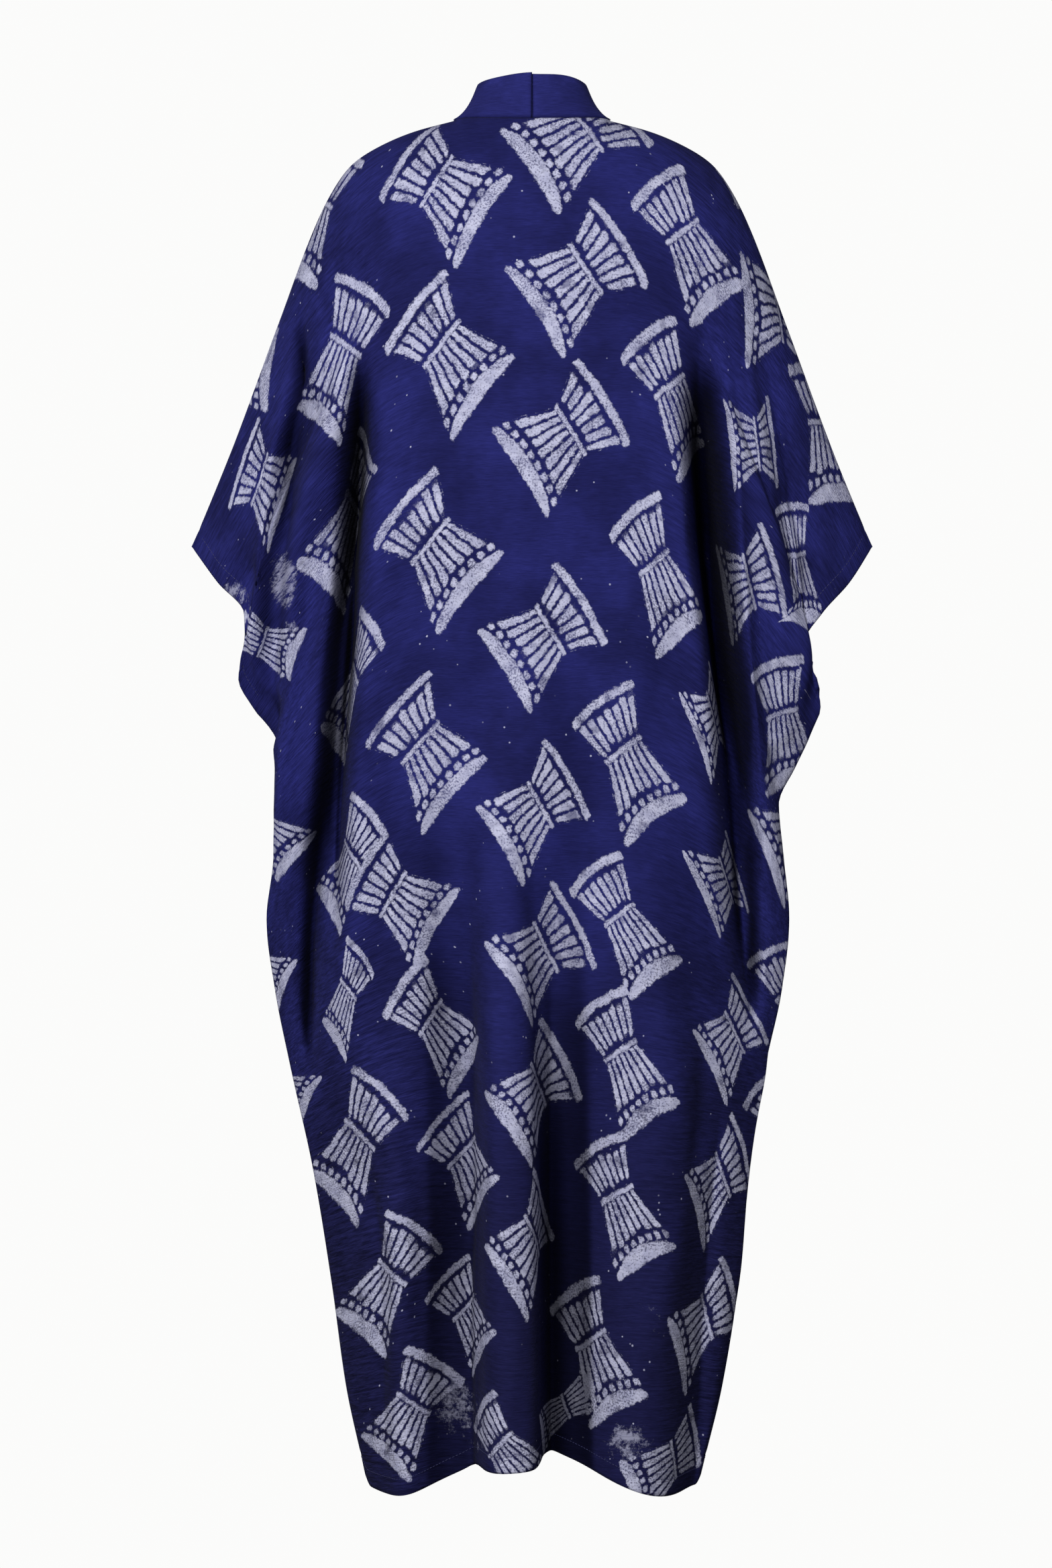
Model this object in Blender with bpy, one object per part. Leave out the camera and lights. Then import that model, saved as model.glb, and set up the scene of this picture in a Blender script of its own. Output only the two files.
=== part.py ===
"""A wide kaftan of printed cotton, worn open at the front and filled out as if by a wearer.

Metres, +Z up. The wearer faces -Y, so the back of the kaftan is on the +Y side and the wearer's left is +X.
The origin is the middle of the neck, level with the seam at the foot of the collar.
Pieces: one back, two fronts and two halves of the long neckband, which meet at the centre-back seam.
"""

import bpy
import numpy as np

CLOTH = 0.002        # wall of the cloth
BAND_CLOTH = 0.003   # the neckband is folded double
SEAM_GAP = 0.0003    # between two pieces that are sewn together

NECK_HALF_WIDTH = 0.074
NECK_BACK_DEPTH = 0.056
NECK_RISE = 0.006    # the neck point of the shoulder lies this much above the centre-back neckline
HEM_CENTRE = -1.272
HEM_SIDE_DROP = 0.040
HEM_DROP_AT = 0.145  # half width at which the hem has dropped its full amount
MOUTH_HALF_GAP = 0.030
MOUTH_LENGTH = 0.19  # share of the side edge that is left open for the hand
BAND_WIDTH = 0.045
BAND_GAP = 0.005     # half the space between the two neckbands down the front
COLLAR_LEAN = 0.016  # how far the collar leans in towards the neck at the centre back
COLLAR_BACK_RISE = 0.042
COLLAR_SIDE_RISE = 0.037

BAND_FLAT_AT = 0.13  # share of the way down by which the band has turned from the collar to lie flat
BAND_FORWARD = 0.004  # how far the free edge of the flat band lies in front of its seam

SPREAD = 0.75        # how far the cloth below the shoulders spreads towards the sides
SPREAD_AT = 0.45     # share of the way down by which it has
CALM_EDGE = 0.07     # share of the width next to a side edge where folds die away
CALM_BAND = 0.18     # the same next to a neckband
CLEAR = 0.004        # least distance of the outside of the cloth from the plane of the side seams
HEM_BLEND = 0.2      # share of the half width over which the hem runs into the foot of the side seam
RING_FLAT = 2.4      # how long the plan section stays deep on its way out to the side
RING_SHARP = 0.75    # how blunt it ends there
ROUND_OVER = 0.075   # height over which the back turns down from the top of the shoulder
ROUND_OVER_TIP = 0.040    # the same at the tip of the sleeve
ROUND_OVER_FRONT = 1.7    # the front turns down over this many times the height of the back
MOUTH_REACH = 8      # the larger, the closer the gap of a hand opening keeps to the edge

BACK_SIDE_COLUMNS = 25
FRONT_COLUMNS = 26
ROWS = 24
ROW_CROWDING = 1.3   # rows are closer where the cloth turns over the shoulder
COLLAR_STEPS = 11
BAND_COLUMNS = 2
EVEN_LEVELS = (0.3, 0.55, 0.97)    # how far down the columns are made equally wide


def table(names, *rows):
    """A table's rows as one array for each of its named columns."""
    return dict(zip(names.split(), np.array(rows).T))


# Shoulder and over-arm seam from the neck point to the tip of the sleeve, seen from the front.
ARM_LINE = table(
    "across height",
    (0.074, 0.006), (0.115, -0.005), (0.150, -0.020), (0.174, -0.036), (0.191, -0.058),
    (0.209, -0.093), (0.246, -0.190), (0.289, -0.305), (0.330, -0.406),
)

# Half width on the wearer's left and right, from the tip of the sleeve down the hand opening and the side seam.
SIDE_EDGE = table(
    "height left right",
    (-0.406, 0.330, 0.330),
    (-0.442, 0.303, 0.306),
    (-0.472, 0.277, 0.279),
    (-0.500, 0.276, 0.262),
    (-0.535, 0.283, 0.272),
    (-0.562, 0.270, 0.279),
    (-0.590, 0.250, 0.270),
    (-0.620, 0.239, 0.256),
    (-0.656, 0.242, 0.240),
    (-0.715, 0.249, 0.245),
    (-0.770, 0.258, 0.250),
    (-0.835, 0.250, 0.243),
    (-0.910, 0.235, 0.227),
    (-1.010, 0.213, 0.212),
    (-1.120, 0.195, 0.201),
    (-1.220, 0.181, 0.185),
    (-1.302, 0.163, 0.165),
)

# How far the cloth stands out from the plane of the side seams at the middle, by share of the way down.
DEPTH = table(
    "down back front",
    (0.00, 0.070, 0.085),
    (0.10, 0.092, 0.112),
    (0.22, 0.100, 0.128),
    (0.40, 0.092, 0.124),
    (0.60, 0.096, 0.122),
    (0.80, 0.104, 0.126),
    (1.00, 0.112, 0.130),
)

# Half width of the seam between a front and its neckband, by share of the way down.
FRONT_EDGE = table(
    "down across",
    (0.00, NECK_HALF_WIDTH), (0.05, 0.070), (0.12, 0.060),
    (0.20, BAND_GAP + BAND_WIDTH), (1.00, BAND_GAP + BAND_WIDTH),
)

# Folds. line: across and height of its top, middle and foot. width: half width. rise: out from the cloth, or in
# where negative. lean: how far its crest hangs over towards the nearer side. bulb: how far its flanks swell.
# grows and fades: lengths over which it comes up below its top and dies away above its foot.
FOLD_COLUMNS = ("line", "width", "rise", "lean", "bulb", "grows", "fades")
BACK_FOLDS = {
    "left_sleeve": (((0.198, -0.17), (0.238, -0.37), (0.262, -0.60)), 0.020, 0.016, 0.012, 0, 0.16, 0.08),
    "left_sleeve_valley": (((0.188, -0.18), (0.226, -0.40), (0.238, -0.60)), 0.016, -0.026, 0, 0, 0.16, 0.10),
    "left_outer": (((0.158, -0.20), (0.204, -0.42), (0.232, -0.80)), 0.026, 0.020, 0.020, 0, 0.18, 0.20),
    "left_outer_valley": (((0.158, -0.28), (0.186, -0.48), (0.205, -0.84)), 0.017, -0.046, 0, 0, 0.14, 0.28),
    "left_main": (((0.126, -0.24), (0.148, -0.52), (0.174, -1.02)), 0.028, 0.018, 0.024, 0, 0.22, 0.36),
    "right_main": (((-0.130, -0.22), (-0.142, -0.48), (-0.200, -0.76)), 0.026, 0.012, 0.016, 0, 0.16, 0.16),
    "right_valley": (((-0.158, -0.18), (-0.172, -0.46), (-0.222, -0.76)), 0.016, -0.075, 0, 0, 0.20, 0.20),
    "right_inner": (((-0.178, -0.22), (-0.196, -0.48), (-0.216, -0.66)), 0.016, 0.012, 0, 0, 0.16, 0.12),
    "right_sleeve": (((-0.186, -0.15), (-0.232, -0.40), (-0.262, -0.62)), 0.020, 0.014, 0.012, 0, 0.16, 0.10),
    "right_sleeve_valley": (((-0.205, -0.16), (-0.254, -0.40), (-0.285, -0.52)), 0.014, -0.016, 0, 0, 0.14, 0.10),
    "tube": (((0.030, -0.55), (0.027, -0.95), (0.021, -1.40)), 0.019, 0.054, 0, 0.030, 0.46, 0),
    "tube_left_valley": (((0.078, -0.50), (0.074, -0.95), (0.072, -1.40)), 0.028, -0.042, 0, 0, 0.46, 0),
    "tube_right_valley": (((-0.030, -0.60), (-0.032, -0.95), (-0.036, -1.40)), 0.028, -0.056, 0, 0, 0.46, 0),
    "left_hem_lobe": (((0.150, -0.80), (0.134, -1.10), (0.122, -1.40)), 0.024, 0.020, 0, 0, 0.30, 0),
    "right_hem_lobe": (((-0.120, -0.60), (-0.122, -1.00), (-0.112, -1.40)), 0.036, 0.022, 0, 0, 0.40, 0),
    "right_hem_valley": (((-0.165, -0.90), (-0.160, -1.10), (-0.152, -1.40)), 0.016, -0.014, 0, 0, 0.30, 0),
}
FRONT_FOLDS = {
    "sleeve": (((0.200, -0.17), (0.240, -0.38), (0.260, -0.60)), 0.020, 0.016, 0.012, 0, 0.16, 0.08),
    "sleeve_valley": (((0.186, -0.18), (0.222, -0.42), (0.236, -0.64)), 0.018, -0.030, 0, 0, 0.16, 0.14),
    "outer": (((0.158, -0.18), (0.196, -0.44), (0.226, -0.84)), 0.026, 0.018, 0.012, 0, 0.18, 0.20),
    "outer_valley": (((0.140, -0.22), (0.168, -0.50), (0.196, -0.92)), 0.018, -0.036, 0, 0, 0.18, 0.24),
    "middle": (((0.116, -0.26), (0.132, -0.60), (0.150, -1.40)), 0.028, 0.020, 0.006, 0, 0.30, 0),
    "hem_valley": (((0.096, -0.55), (0.100, -0.95), (0.112, -1.40)), 0.022, -0.030, 0, 0, 0.40, 0),
    "hem_lobe": (((0.078, -0.50), (0.078, -0.95), (0.080, -1.40)), 0.020, 0.016, 0, 0, 0.40, 0),
}

# Folds that the columns of points run along, in their order across.
RIGHT_GUIDES = ("right_valley", "right_main")
LEFT_GUIDES = ("left_main", "left_outer")
FRONT_GUIDES = ("outer_valley", "outer")
GUIDE_STEPS = 12
GUIDE_LEVEL = 0.3    # how far down the columns are named by their share across

ROUGHNESS = 0.85
COLOURS = {
    "indigo_print": (0.026, 0.029, 0.150, 1.0),
    "indigo_plain": (0.030, 0.036, 0.170, 1.0),
}


def smooth(t):
    """Eases from 0 to 1 as t goes from 0 to 1."""
    t = np.clip(t, 0.0, 1.0)
    return t * t * (3 - 2 * t)


def curve(x, at, value):
    """A soft curve through the points (at, value), with no swing past them."""
    if at[0] > at[-1]:
        at, value = at[::-1], value[::-1]
    step, slope = np.diff(at), np.diff(value) / np.diff(at)
    before, after = slope[:-1], slope[1:]
    same_way = before * after > 0
    between = np.where(same_way, 2 * before * after / np.where(same_way, before + after, 1), 0)
    tangent = np.concatenate([[slope[0]], between, [slope[-1]]])
    x = np.clip(x, at[0], at[-1])
    i = np.clip(np.searchsorted(at, x, side="right") - 1, 0, len(step) - 1)
    t = (x - at[i]) / step[i]
    rise = value[i + 1] - value[i]
    return (value[i] + rise * t * t * (3 - 2 * t)
            + step[i] * (tangent[i] * t * (1 - t) ** 2 - tangent[i + 1] * t * t * (1 - t)))


def arm_shares():
    """The share of the cloth's half width at which each row of the arm line lies."""
    steps = np.hypot(np.diff(ARM_LINE["across"]), np.diff(ARM_LINE["height"]))
    run = NECK_HALF_WIDTH + np.concatenate([[0], np.cumsum(steps)])
    return run / run[-1]


ARM_SHARES = arm_shares()
NECK_SHARE = ARM_SHARES[0]


def top_line(share):
    """Across and height of the top line at a share of the half width, round the neck and then along the arm."""
    a = np.abs(share)
    in_neck = a < NECK_SHARE
    across = np.where(in_neck, NECK_HALF_WIDTH * a / NECK_SHARE, curve(a, ARM_SHARES, ARM_LINE["across"]))
    height = np.where(in_neck, NECK_RISE * (a / NECK_SHARE) ** 2, curve(a, ARM_SHARES, ARM_LINE["height"]))
    return across, height


def hem_height(across):
    return HEM_CENTRE - HEM_SIDE_DROP * smooth(np.abs(across) / HEM_DROP_AT)


def plain_form(share, down, front):
    """The kaftan's smooth form, before its folds, and each point's part of the way out to the side edge.
    share: -1 to 1 across. down: 0 at the top line to 1 at the hem."""
    a = np.abs(share)
    across_top, height_top = top_line(share)
    side = SIDE_EDGE["height"]
    side_height = side[0] + (side[-1] - side[0]) * down
    left, right = (curve(side_height, side, SIDE_EDGE[word]) for word in ("left", "right"))
    half = np.where(share > 0, left, right)
    inner_top, inner = (NECK_HALF_WIDTH, front_edge(down)) if front else (0, 0)
    part = (across_top - inner_top) / (ARM_LINE["across"][-1] - inner_top)
    spread = SPREAD * smooth(down / SPREAD_AT)
    part = (1 - spread) * part + spread * np.sin(part * np.pi / 2)
    across = inner + (half - inner) * part
    foot = hem_height(across)
    foot = foot + (side[-1] - foot) * smooth((a - 1 + HEM_BLEND) / HEM_BLEND)
    height = height_top + (foot - height_top) * down
    ring = np.clip(1 - np.minimum(across / half, 1) ** RING_FLAT, 0, 1) ** RING_SHARP
    mouth = np.sin(np.pi * np.clip(down / MOUTH_LENGTH, 0, 1)) * MOUTH_HALF_GAP * a ** MOUTH_REACH
    depth = curve(down, DEPTH["down"], DEPTH["front" if front else "back"]) * ring + mouth
    round_over = (ROUND_OVER + (ROUND_OVER_TIP - ROUND_OVER) * a) * (ROUND_OVER_FRONT if front else 1)
    drop = np.clip((height_top - height) / round_over, 0, 1)
    over = np.sqrt(np.clip(1 - (1 - drop) ** 2, 0, 1))
    start = np.zeros_like(a)
    if not front:
        start = NECK_BACK_DEPTH * np.sqrt(np.clip(1 - (across_top / NECK_HALF_WIDTH) ** 2, 0, 1))
        start = np.where(a < NECK_SHARE, start, 0)
    y = start + (depth - start) * over + SEAM_GAP / 2
    return np.stack([np.sign(share) * across, -y if front else y, height], axis=-1), part


def front_edge(down):
    """Across of the seam between a front and its neckband."""
    return curve(down, FRONT_EDGE["down"], FRONT_EDGE["across"])


def normals(grid):
    """Unit normals of a grid of points. They point out of the garment where its rows run to the wearer's left
    across the back, or to the wearer's right across a front, from the top down."""
    across, down = np.gradient(grid, axis=0), np.gradient(grid, axis=1)
    n = np.cross(across, down)
    return n / np.maximum(np.linalg.norm(n, axis=-1, keepdims=True), 1e-12)


def with_folds(grid, folds, side, calm, clear):
    """Moves a plain grid's points along its folds. side is -1 where the folds' table is for the other side, calm is
    0 where the folds die away, and clear is how far the cloth stays from the other half of the garment."""
    across, z = grid[..., 0] * side, grid[..., 2]
    out, depth = np.sign(grid[..., 1]), np.abs(grid[..., 1])
    rise, lean = np.zeros_like(z), np.zeros_like(z)
    for name in sorted(folds):
        fold = dict(zip(FOLD_COLUMNS, folds[name]))
        crest, height = np.array(fold["line"]).T
        off = (across - curve(z, height, crest)) / fold["width"]
        grown = smooth((height[0] - z) / fold["grows"])
        if fold["fades"]:
            grown = grown * smooth((z - height[-1]) / fold["fades"])
        swell = np.exp(-off ** 2) * grown * calm
        rise += fold["rise"] * swell
        lean += (fold["lean"] * np.sign(crest[1]) + fold["bulb"] * off) * swell
    room = np.maximum(depth - clear, 1e-6)
    sunk = clear + room * np.exp(np.minimum(rise, 0) / room)
    depth = np.where(depth > clear, sunk, depth) + np.maximum(rise, 0)
    return np.stack([(across + lean) * side, out * depth, z], axis=-1)


def back_surface(share, down):
    grid, part = plain_form(share, down, front=False)
    calm = smooth((1 - part) / CALM_EDGE)
    return with_folds(grid, BACK_FOLDS, 1, calm, CLEAR * calm)


def front_surface(side):
    """One front as a function of share, 0 at the neckband to 1 at the side, and down."""
    def surface(share, down):
        grid, part = plain_form(side * (NECK_SHARE + (1 - NECK_SHARE) * share), down, front=True)
        calm = smooth((1 - part) / CALM_EDGE)
        return with_folds(grid, FRONT_FOLDS, side, calm * smooth(part / CALM_BAND), CLEAR * calm)
    return surface


def fold_guides(plain, low, high, folds, names, side):
    """Where the named folds run over a plain panel: for each, how far down and the share across, top to foot."""
    shares, downs = np.meshgrid(np.linspace(low, high, 401), np.linspace(0, 1, 401), indexing="ij")
    grid = plain(shares, downs)
    guides = []
    for name in names:
        crest, height = np.array(folds[name][0]).T
        heights = np.linspace(height[0], height[-1], GUIDE_STEPS)
        spots = []
        for height, across in zip(heights, curve(heights, height, crest)):
            near = np.hypot(grid[..., 0] - across * side, grid[..., 2] - height)
            i, j = np.unravel_index(np.argmin(near), near.shape)
            spots.append((downs[i, j], shares[i, j]))
        guides.append(np.array(sorted(spots)))
    return guides


def follow(guides, low, high, column, down):
    """Shares across for a column, from low to high, so that columns run along the folds and not over them."""
    marks = [low] + [np.interp(GUIDE_LEVEL, *guide.T) for guide in guides] + [high]
    at = [low] + [np.interp(down, *guide.T) for guide in guides] + [high]
    share = np.zeros(np.broadcast(column, down).shape)
    for k in range(len(marks) - 1):
        t = np.clip((column - marks[k]) / (marks[k + 1] - marks[k]), 0, 1)
        inside = (column >= marks[k]) & (column <= marks[k + 1])
        share = np.where(inside, at[k] + (at[k + 1] - at[k]) * t, share)
    return share


def even_columns(surface, low, high, count):
    """Columns across a panel, spaced so that each takes about the same width of cloth."""
    fine = np.linspace(low, high, 801)
    length = np.zeros(len(fine))
    for level in EVEN_LEVELS:
        points = surface(fine[:, None], np.full((1, 1), level))[:, 0]
        step = np.linalg.norm(np.diff(points, axis=0), axis=1)
        length[1:] += np.cumsum(step) / step.sum()
    return np.interp(np.linspace(0, length[-1], count + 1), length, fine)


def neck_turns():
    """Angles of the stations round half of the neck, from the centre back to the neck point of the shoulder."""
    return np.linspace(0, np.pi / 2, COLLAR_STEPS + 1)


def row_levels():
    """How far down each row of points lies."""
    return np.linspace(0, 1, ROWS + 1) ** ROW_CROWDING


def wall_body(name, outer, inner, slot):
    """A closed body between two grids of points. The faces of outer point out where its normals() do."""
    columns, rows = outer.shape[:2]
    verts = np.concatenate([outer.reshape(-1, 3), inner.reshape(-1, 3)])

    def at(i, j, layer):
        return layer * columns * rows + i * rows + j

    faces = []
    for i in range(columns - 1):
        for j in range(rows - 1):
            faces.append((at(i, j, 0), at(i + 1, j, 0), at(i + 1, j + 1, 0), at(i, j + 1, 0)))
            faces.append((at(i, j, 1), at(i, j + 1, 1), at(i + 1, j + 1, 1), at(i + 1, j, 1)))
        faces.append((at(i + 1, 0, 0), at(i, 0, 0), at(i, 0, 1), at(i + 1, 0, 1)))
        last = rows - 1
        faces.append((at(i, last, 0), at(i + 1, last, 0), at(i + 1, last, 1), at(i, last, 1)))
    for j in range(rows - 1):
        faces.append((at(0, j, 0), at(0, j + 1, 0), at(0, j + 1, 1), at(0, j, 1)))
        last = columns - 1
        faces.append((at(last, j + 1, 0), at(last, j, 0), at(last, j, 1), at(last, j + 1, 1)))
    mesh = bpy.data.meshes.new(name)
    mesh.from_pydata([tuple(v) for v in verts], [], faces)
    mesh.shade_smooth()
    mesh.materials.append(material(slot))
    body = bpy.data.objects.new(name, mesh)
    bpy.context.scene.collection.objects.link(body)
    return body


def material(slot):
    made = bpy.data.materials.get(slot)
    if made is None:
        made = bpy.data.materials.new(slot)
        made.use_nodes = True
        shader = made.node_tree.nodes["Principled BSDF"]
        shader.inputs["Base Color"].default_value = COLOURS[slot]
        shader.inputs["Roughness"].default_value = ROUGHNESS
    return made


def inside_of(grid, thickness, seams=None):
    """A panel's inner points: its outer ones moved in by its thickness. Where seams is true they are moved level
    with the seam, so that the two walls which are sewn there meet face to face."""
    n = normals(grid)
    if seams is not None:
        n[seams, 1] = 0
        n /= np.linalg.norm(n, axis=-1, keepdims=True)
    return grid - n * thickness


def make_back():
    def plain(share, down):
        return plain_form(share, down, front=False)[0]
    halves = []
    for low, high, names in ((-1, -NECK_SHARE, RIGHT_GUIDES), (NECK_SHARE, 1, LEFT_GUIDES)):
        guides = fold_guides(plain, low, high, BACK_FOLDS, names, 1)

        def surface(column, down, low=low, high=high, guides=guides):
            return back_surface(follow(guides, low, high, column, down), down)
        column = even_columns(surface, low, high, BACK_SIDE_COLUMNS)[:, None]
        halves.append(follow(guides, low, high, column, row_levels()[None]))
    neck = np.repeat(NECK_SHARE * np.sin(neck_turns())[:, None], ROWS + 1, axis=1)
    share = np.concatenate([halves[0], -neck[-2:0:-1], neck[:-1], halves[1]])
    down = np.broadcast_to(row_levels(), share.shape)
    grid = back_surface(share, down)
    on_arm = (down == 0) & (np.abs(share) >= NECK_SHARE)
    below_mouth = (np.abs(share) == 1) & (down >= MOUTH_LENGTH)
    wall_body("back", grid, inside_of(grid, CLOTH, on_arm | below_mouth), "indigo_print")


def make_front(name, side):
    def plain(share, down):
        return plain_form(side * (NECK_SHARE + (1 - NECK_SHARE) * share), down, front=True)[0]
    guides = fold_guides(plain, 0, 1, FRONT_FOLDS, FRONT_GUIDES, side)

    def surface(column, down):
        return front_surface(side)(follow(guides, 0, 1, column, down), down)
    column = even_columns(surface, 0, 1, FRONT_COLUMNS)[:, None]
    share = follow(guides, 0, 1, column, row_levels()[None])
    down = np.broadcast_to(row_levels(), share.shape)
    grid = front_surface(side)(share, down)
    seams = (down == 0) | ((share == 1) & (down >= MOUTH_LENGTH))
    if side > 0:
        grid, seams = grid[::-1], seams[::-1]
    wall_body(name, grid, inside_of(grid, CLOTH, seams), "indigo_print")


def make_neckband(name, side):
    """Half of the long band: the collar from the centre-back seam round to the shoulder, then one front edge."""
    turn = neck_turns()[:-1]
    foot = np.stack([NECK_HALF_WIDTH * np.sin(turn), NECK_BACK_DEPTH * np.cos(turn),
                     NECK_RISE * np.sin(turn) ** 2 + SEAM_GAP], axis=-1)
    foot[0, 0] = SEAM_GAP / 2
    lean_side = np.sqrt(BAND_WIDTH ** 2 - COLLAR_SIDE_RISE ** 2)
    upright = np.stack([-lean_side * np.sin(turn), -COLLAR_LEAN * np.cos(turn),
                        COLLAR_BACK_RISE + (COLLAR_SIDE_RISE - COLLAR_BACK_RISE) * np.sin(turn)], axis=-1)
    down = row_levels()
    edge = front_surface(side)(*np.meshgrid([0, 0.05, 0.1], down, indexing="ij"))[0] * (side, 1, 1)
    edge[:, 0] -= SEAM_GAP
    edge[:, 1] -= SEAM_GAP / 2
    flat = smooth(down / BAND_FLAT_AT)[:, None]
    aim = (1 - flat) * (-lean_side, 0, COLLAR_SIDE_RISE) + flat * (-BAND_WIDTH, -BAND_FORWARD, 0)
    aim *= BAND_WIDTH / np.linalg.norm(aim, axis=-1, keepdims=True)
    foot, upright = np.concatenate([foot, edge]), np.concatenate([upright, aim])
    share = np.linspace(0, 1, BAND_COLUMNS + 1)[:, None, None]
    grid = (foot[None] + upright[None] * share) * (side, 1, 1)
    grid[:, 0, 0] = side * SEAM_GAP / 2
    if side < 0:
        grid = grid[::-1]
    n = normals(grid)
    n[..., 2] *= np.concatenate([np.zeros(len(turn)), flat[:, 0]])
    inner = grid - n / np.linalg.norm(n, axis=-1, keepdims=True) * BAND_CLOTH
    inner[:, 0, 0] = side * SEAM_GAP / 2
    wall_body(name, grid, inner, "indigo_plain")


def main():
    for old in list(bpy.data.objects):
        bpy.data.objects.remove(old)
    make_back()
    for side, word in ((1, "left"), (-1, "right")):
        make_front("front_" + word, side)
        make_neckband("neckband_" + word, side)


main()
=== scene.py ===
# A worn batik kaftan seen from behind: open front, wide sleeves cut in one with the body, plain neckband.
# Metres, +Z up. Its front is at -Y and its own left at +X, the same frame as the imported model.

import math

import bpy
import numpy as np
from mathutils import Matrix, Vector


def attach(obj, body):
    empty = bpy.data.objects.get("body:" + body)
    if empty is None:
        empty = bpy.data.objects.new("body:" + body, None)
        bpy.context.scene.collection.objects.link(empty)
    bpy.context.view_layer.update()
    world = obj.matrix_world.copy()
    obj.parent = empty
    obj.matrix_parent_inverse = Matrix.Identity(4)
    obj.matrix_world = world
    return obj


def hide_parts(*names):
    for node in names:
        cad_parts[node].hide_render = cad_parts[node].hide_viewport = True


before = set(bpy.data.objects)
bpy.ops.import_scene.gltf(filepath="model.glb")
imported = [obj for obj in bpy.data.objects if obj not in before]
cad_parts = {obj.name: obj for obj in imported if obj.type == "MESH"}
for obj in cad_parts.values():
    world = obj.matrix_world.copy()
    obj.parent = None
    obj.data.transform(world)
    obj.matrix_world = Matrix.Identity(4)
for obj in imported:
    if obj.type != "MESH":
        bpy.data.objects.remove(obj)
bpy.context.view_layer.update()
print("frame loaded:", sorted(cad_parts))


# Where the picture is taken from. Places on the back that are read from it are measured as it sees them.

camera = {
    "across": 0.00585,
    "distance": 3.6,
    "height": -0.636,
    "readingDepth": 0.1,    # plane on which such places are measured
    "focal": 5538,    # pixels of the picture, which is 1568 x 2337
    "pictureHeight": 2337,
    "sensor": 36.0,
}


# The form. It repeats the solids' own sizes, so each piece lies where its solid does.

form = {
    "neckHalfWidth": 0.074,
    "neckBackDepth": 0.056,
    "neckRise": 0.006,
    "hemCentre": -1.272,
    "hemSideDrop": 0.040,
    "hemDropAt": 0.145,
    "hemBlend": 0.2,
    "mouthHalfGap": 0.030,
    "mouthLength": 0.19,    # share of the side edge that is left open for the hand
    "mouthReach": 8,
    "bandWidth": 0.045,
    "bandGap": 0.005,
    "bandFlatAt": 0.13,
    "bandForward": 0.004,
    "collarLean": 0.016,
    "collarBackRise": 0.042,
    "collarSideRise": 0.037,
    "seamGap": 0.0003,
    "spread": 0.75,
    "spreadAt": 0.45,
    "calmEdge": 0.07,
    "calmBand": 0.18,
    "clear": 0.004,
    "ringFlat": 2.4,
    "ringSharp": 0.75,
    "roundOver": 0.075,
    "roundOverTip": 0.040,
    "roundOverFront": 1.7,
}


def table(names, *rows):
    return dict(zip(names.split(), np.array(rows).T))


armLine = table(
    "across height",
    (0.074, 0.006), (0.115, -0.005), (0.150, -0.020), (0.174, -0.036), (0.191, -0.058),
    (0.209, -0.093), (0.246, -0.190), (0.289, -0.305), (0.330, -0.406),
)
sideEdge = table(
    "height left right",
    (-0.406, 0.330, 0.330), (-0.442, 0.303, 0.306), (-0.472, 0.277, 0.279), (-0.500, 0.276, 0.262),
    (-0.535, 0.283, 0.272), (-0.562, 0.270, 0.279), (-0.590, 0.250, 0.270), (-0.620, 0.239, 0.256),
    (-0.656, 0.242, 0.240), (-0.715, 0.249, 0.245), (-0.770, 0.258, 0.250), (-0.835, 0.250, 0.243),
    (-0.910, 0.235, 0.227), (-1.010, 0.213, 0.212), (-1.120, 0.195, 0.201), (-1.220, 0.181, 0.185),
    (-1.302, 0.163, 0.165),
)
depthOut = table(
    "down back front",
    (0.00, 0.070, 0.085), (0.10, 0.092, 0.112), (0.22, 0.100, 0.128), (0.40, 0.092, 0.124),
    (0.60, 0.096, 0.122), (0.80, 0.104, 0.126), (1.00, 0.112, 0.130),
)
frontEdge = table(
    "down across",
    (0.00, form["neckHalfWidth"]), (0.05, 0.070), (0.12, 0.060),
    (0.20, form["bandGap"] + form["bandWidth"]), (1.00, form["bandGap"] + form["bandWidth"]),
)

# Folds, in millimetres: line of the crest as across and height from top to foot, then half width, rise (a
# trough below 0), lean of the crest to its side, swell of the flanks, lengths over which it grows and fades.

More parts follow.
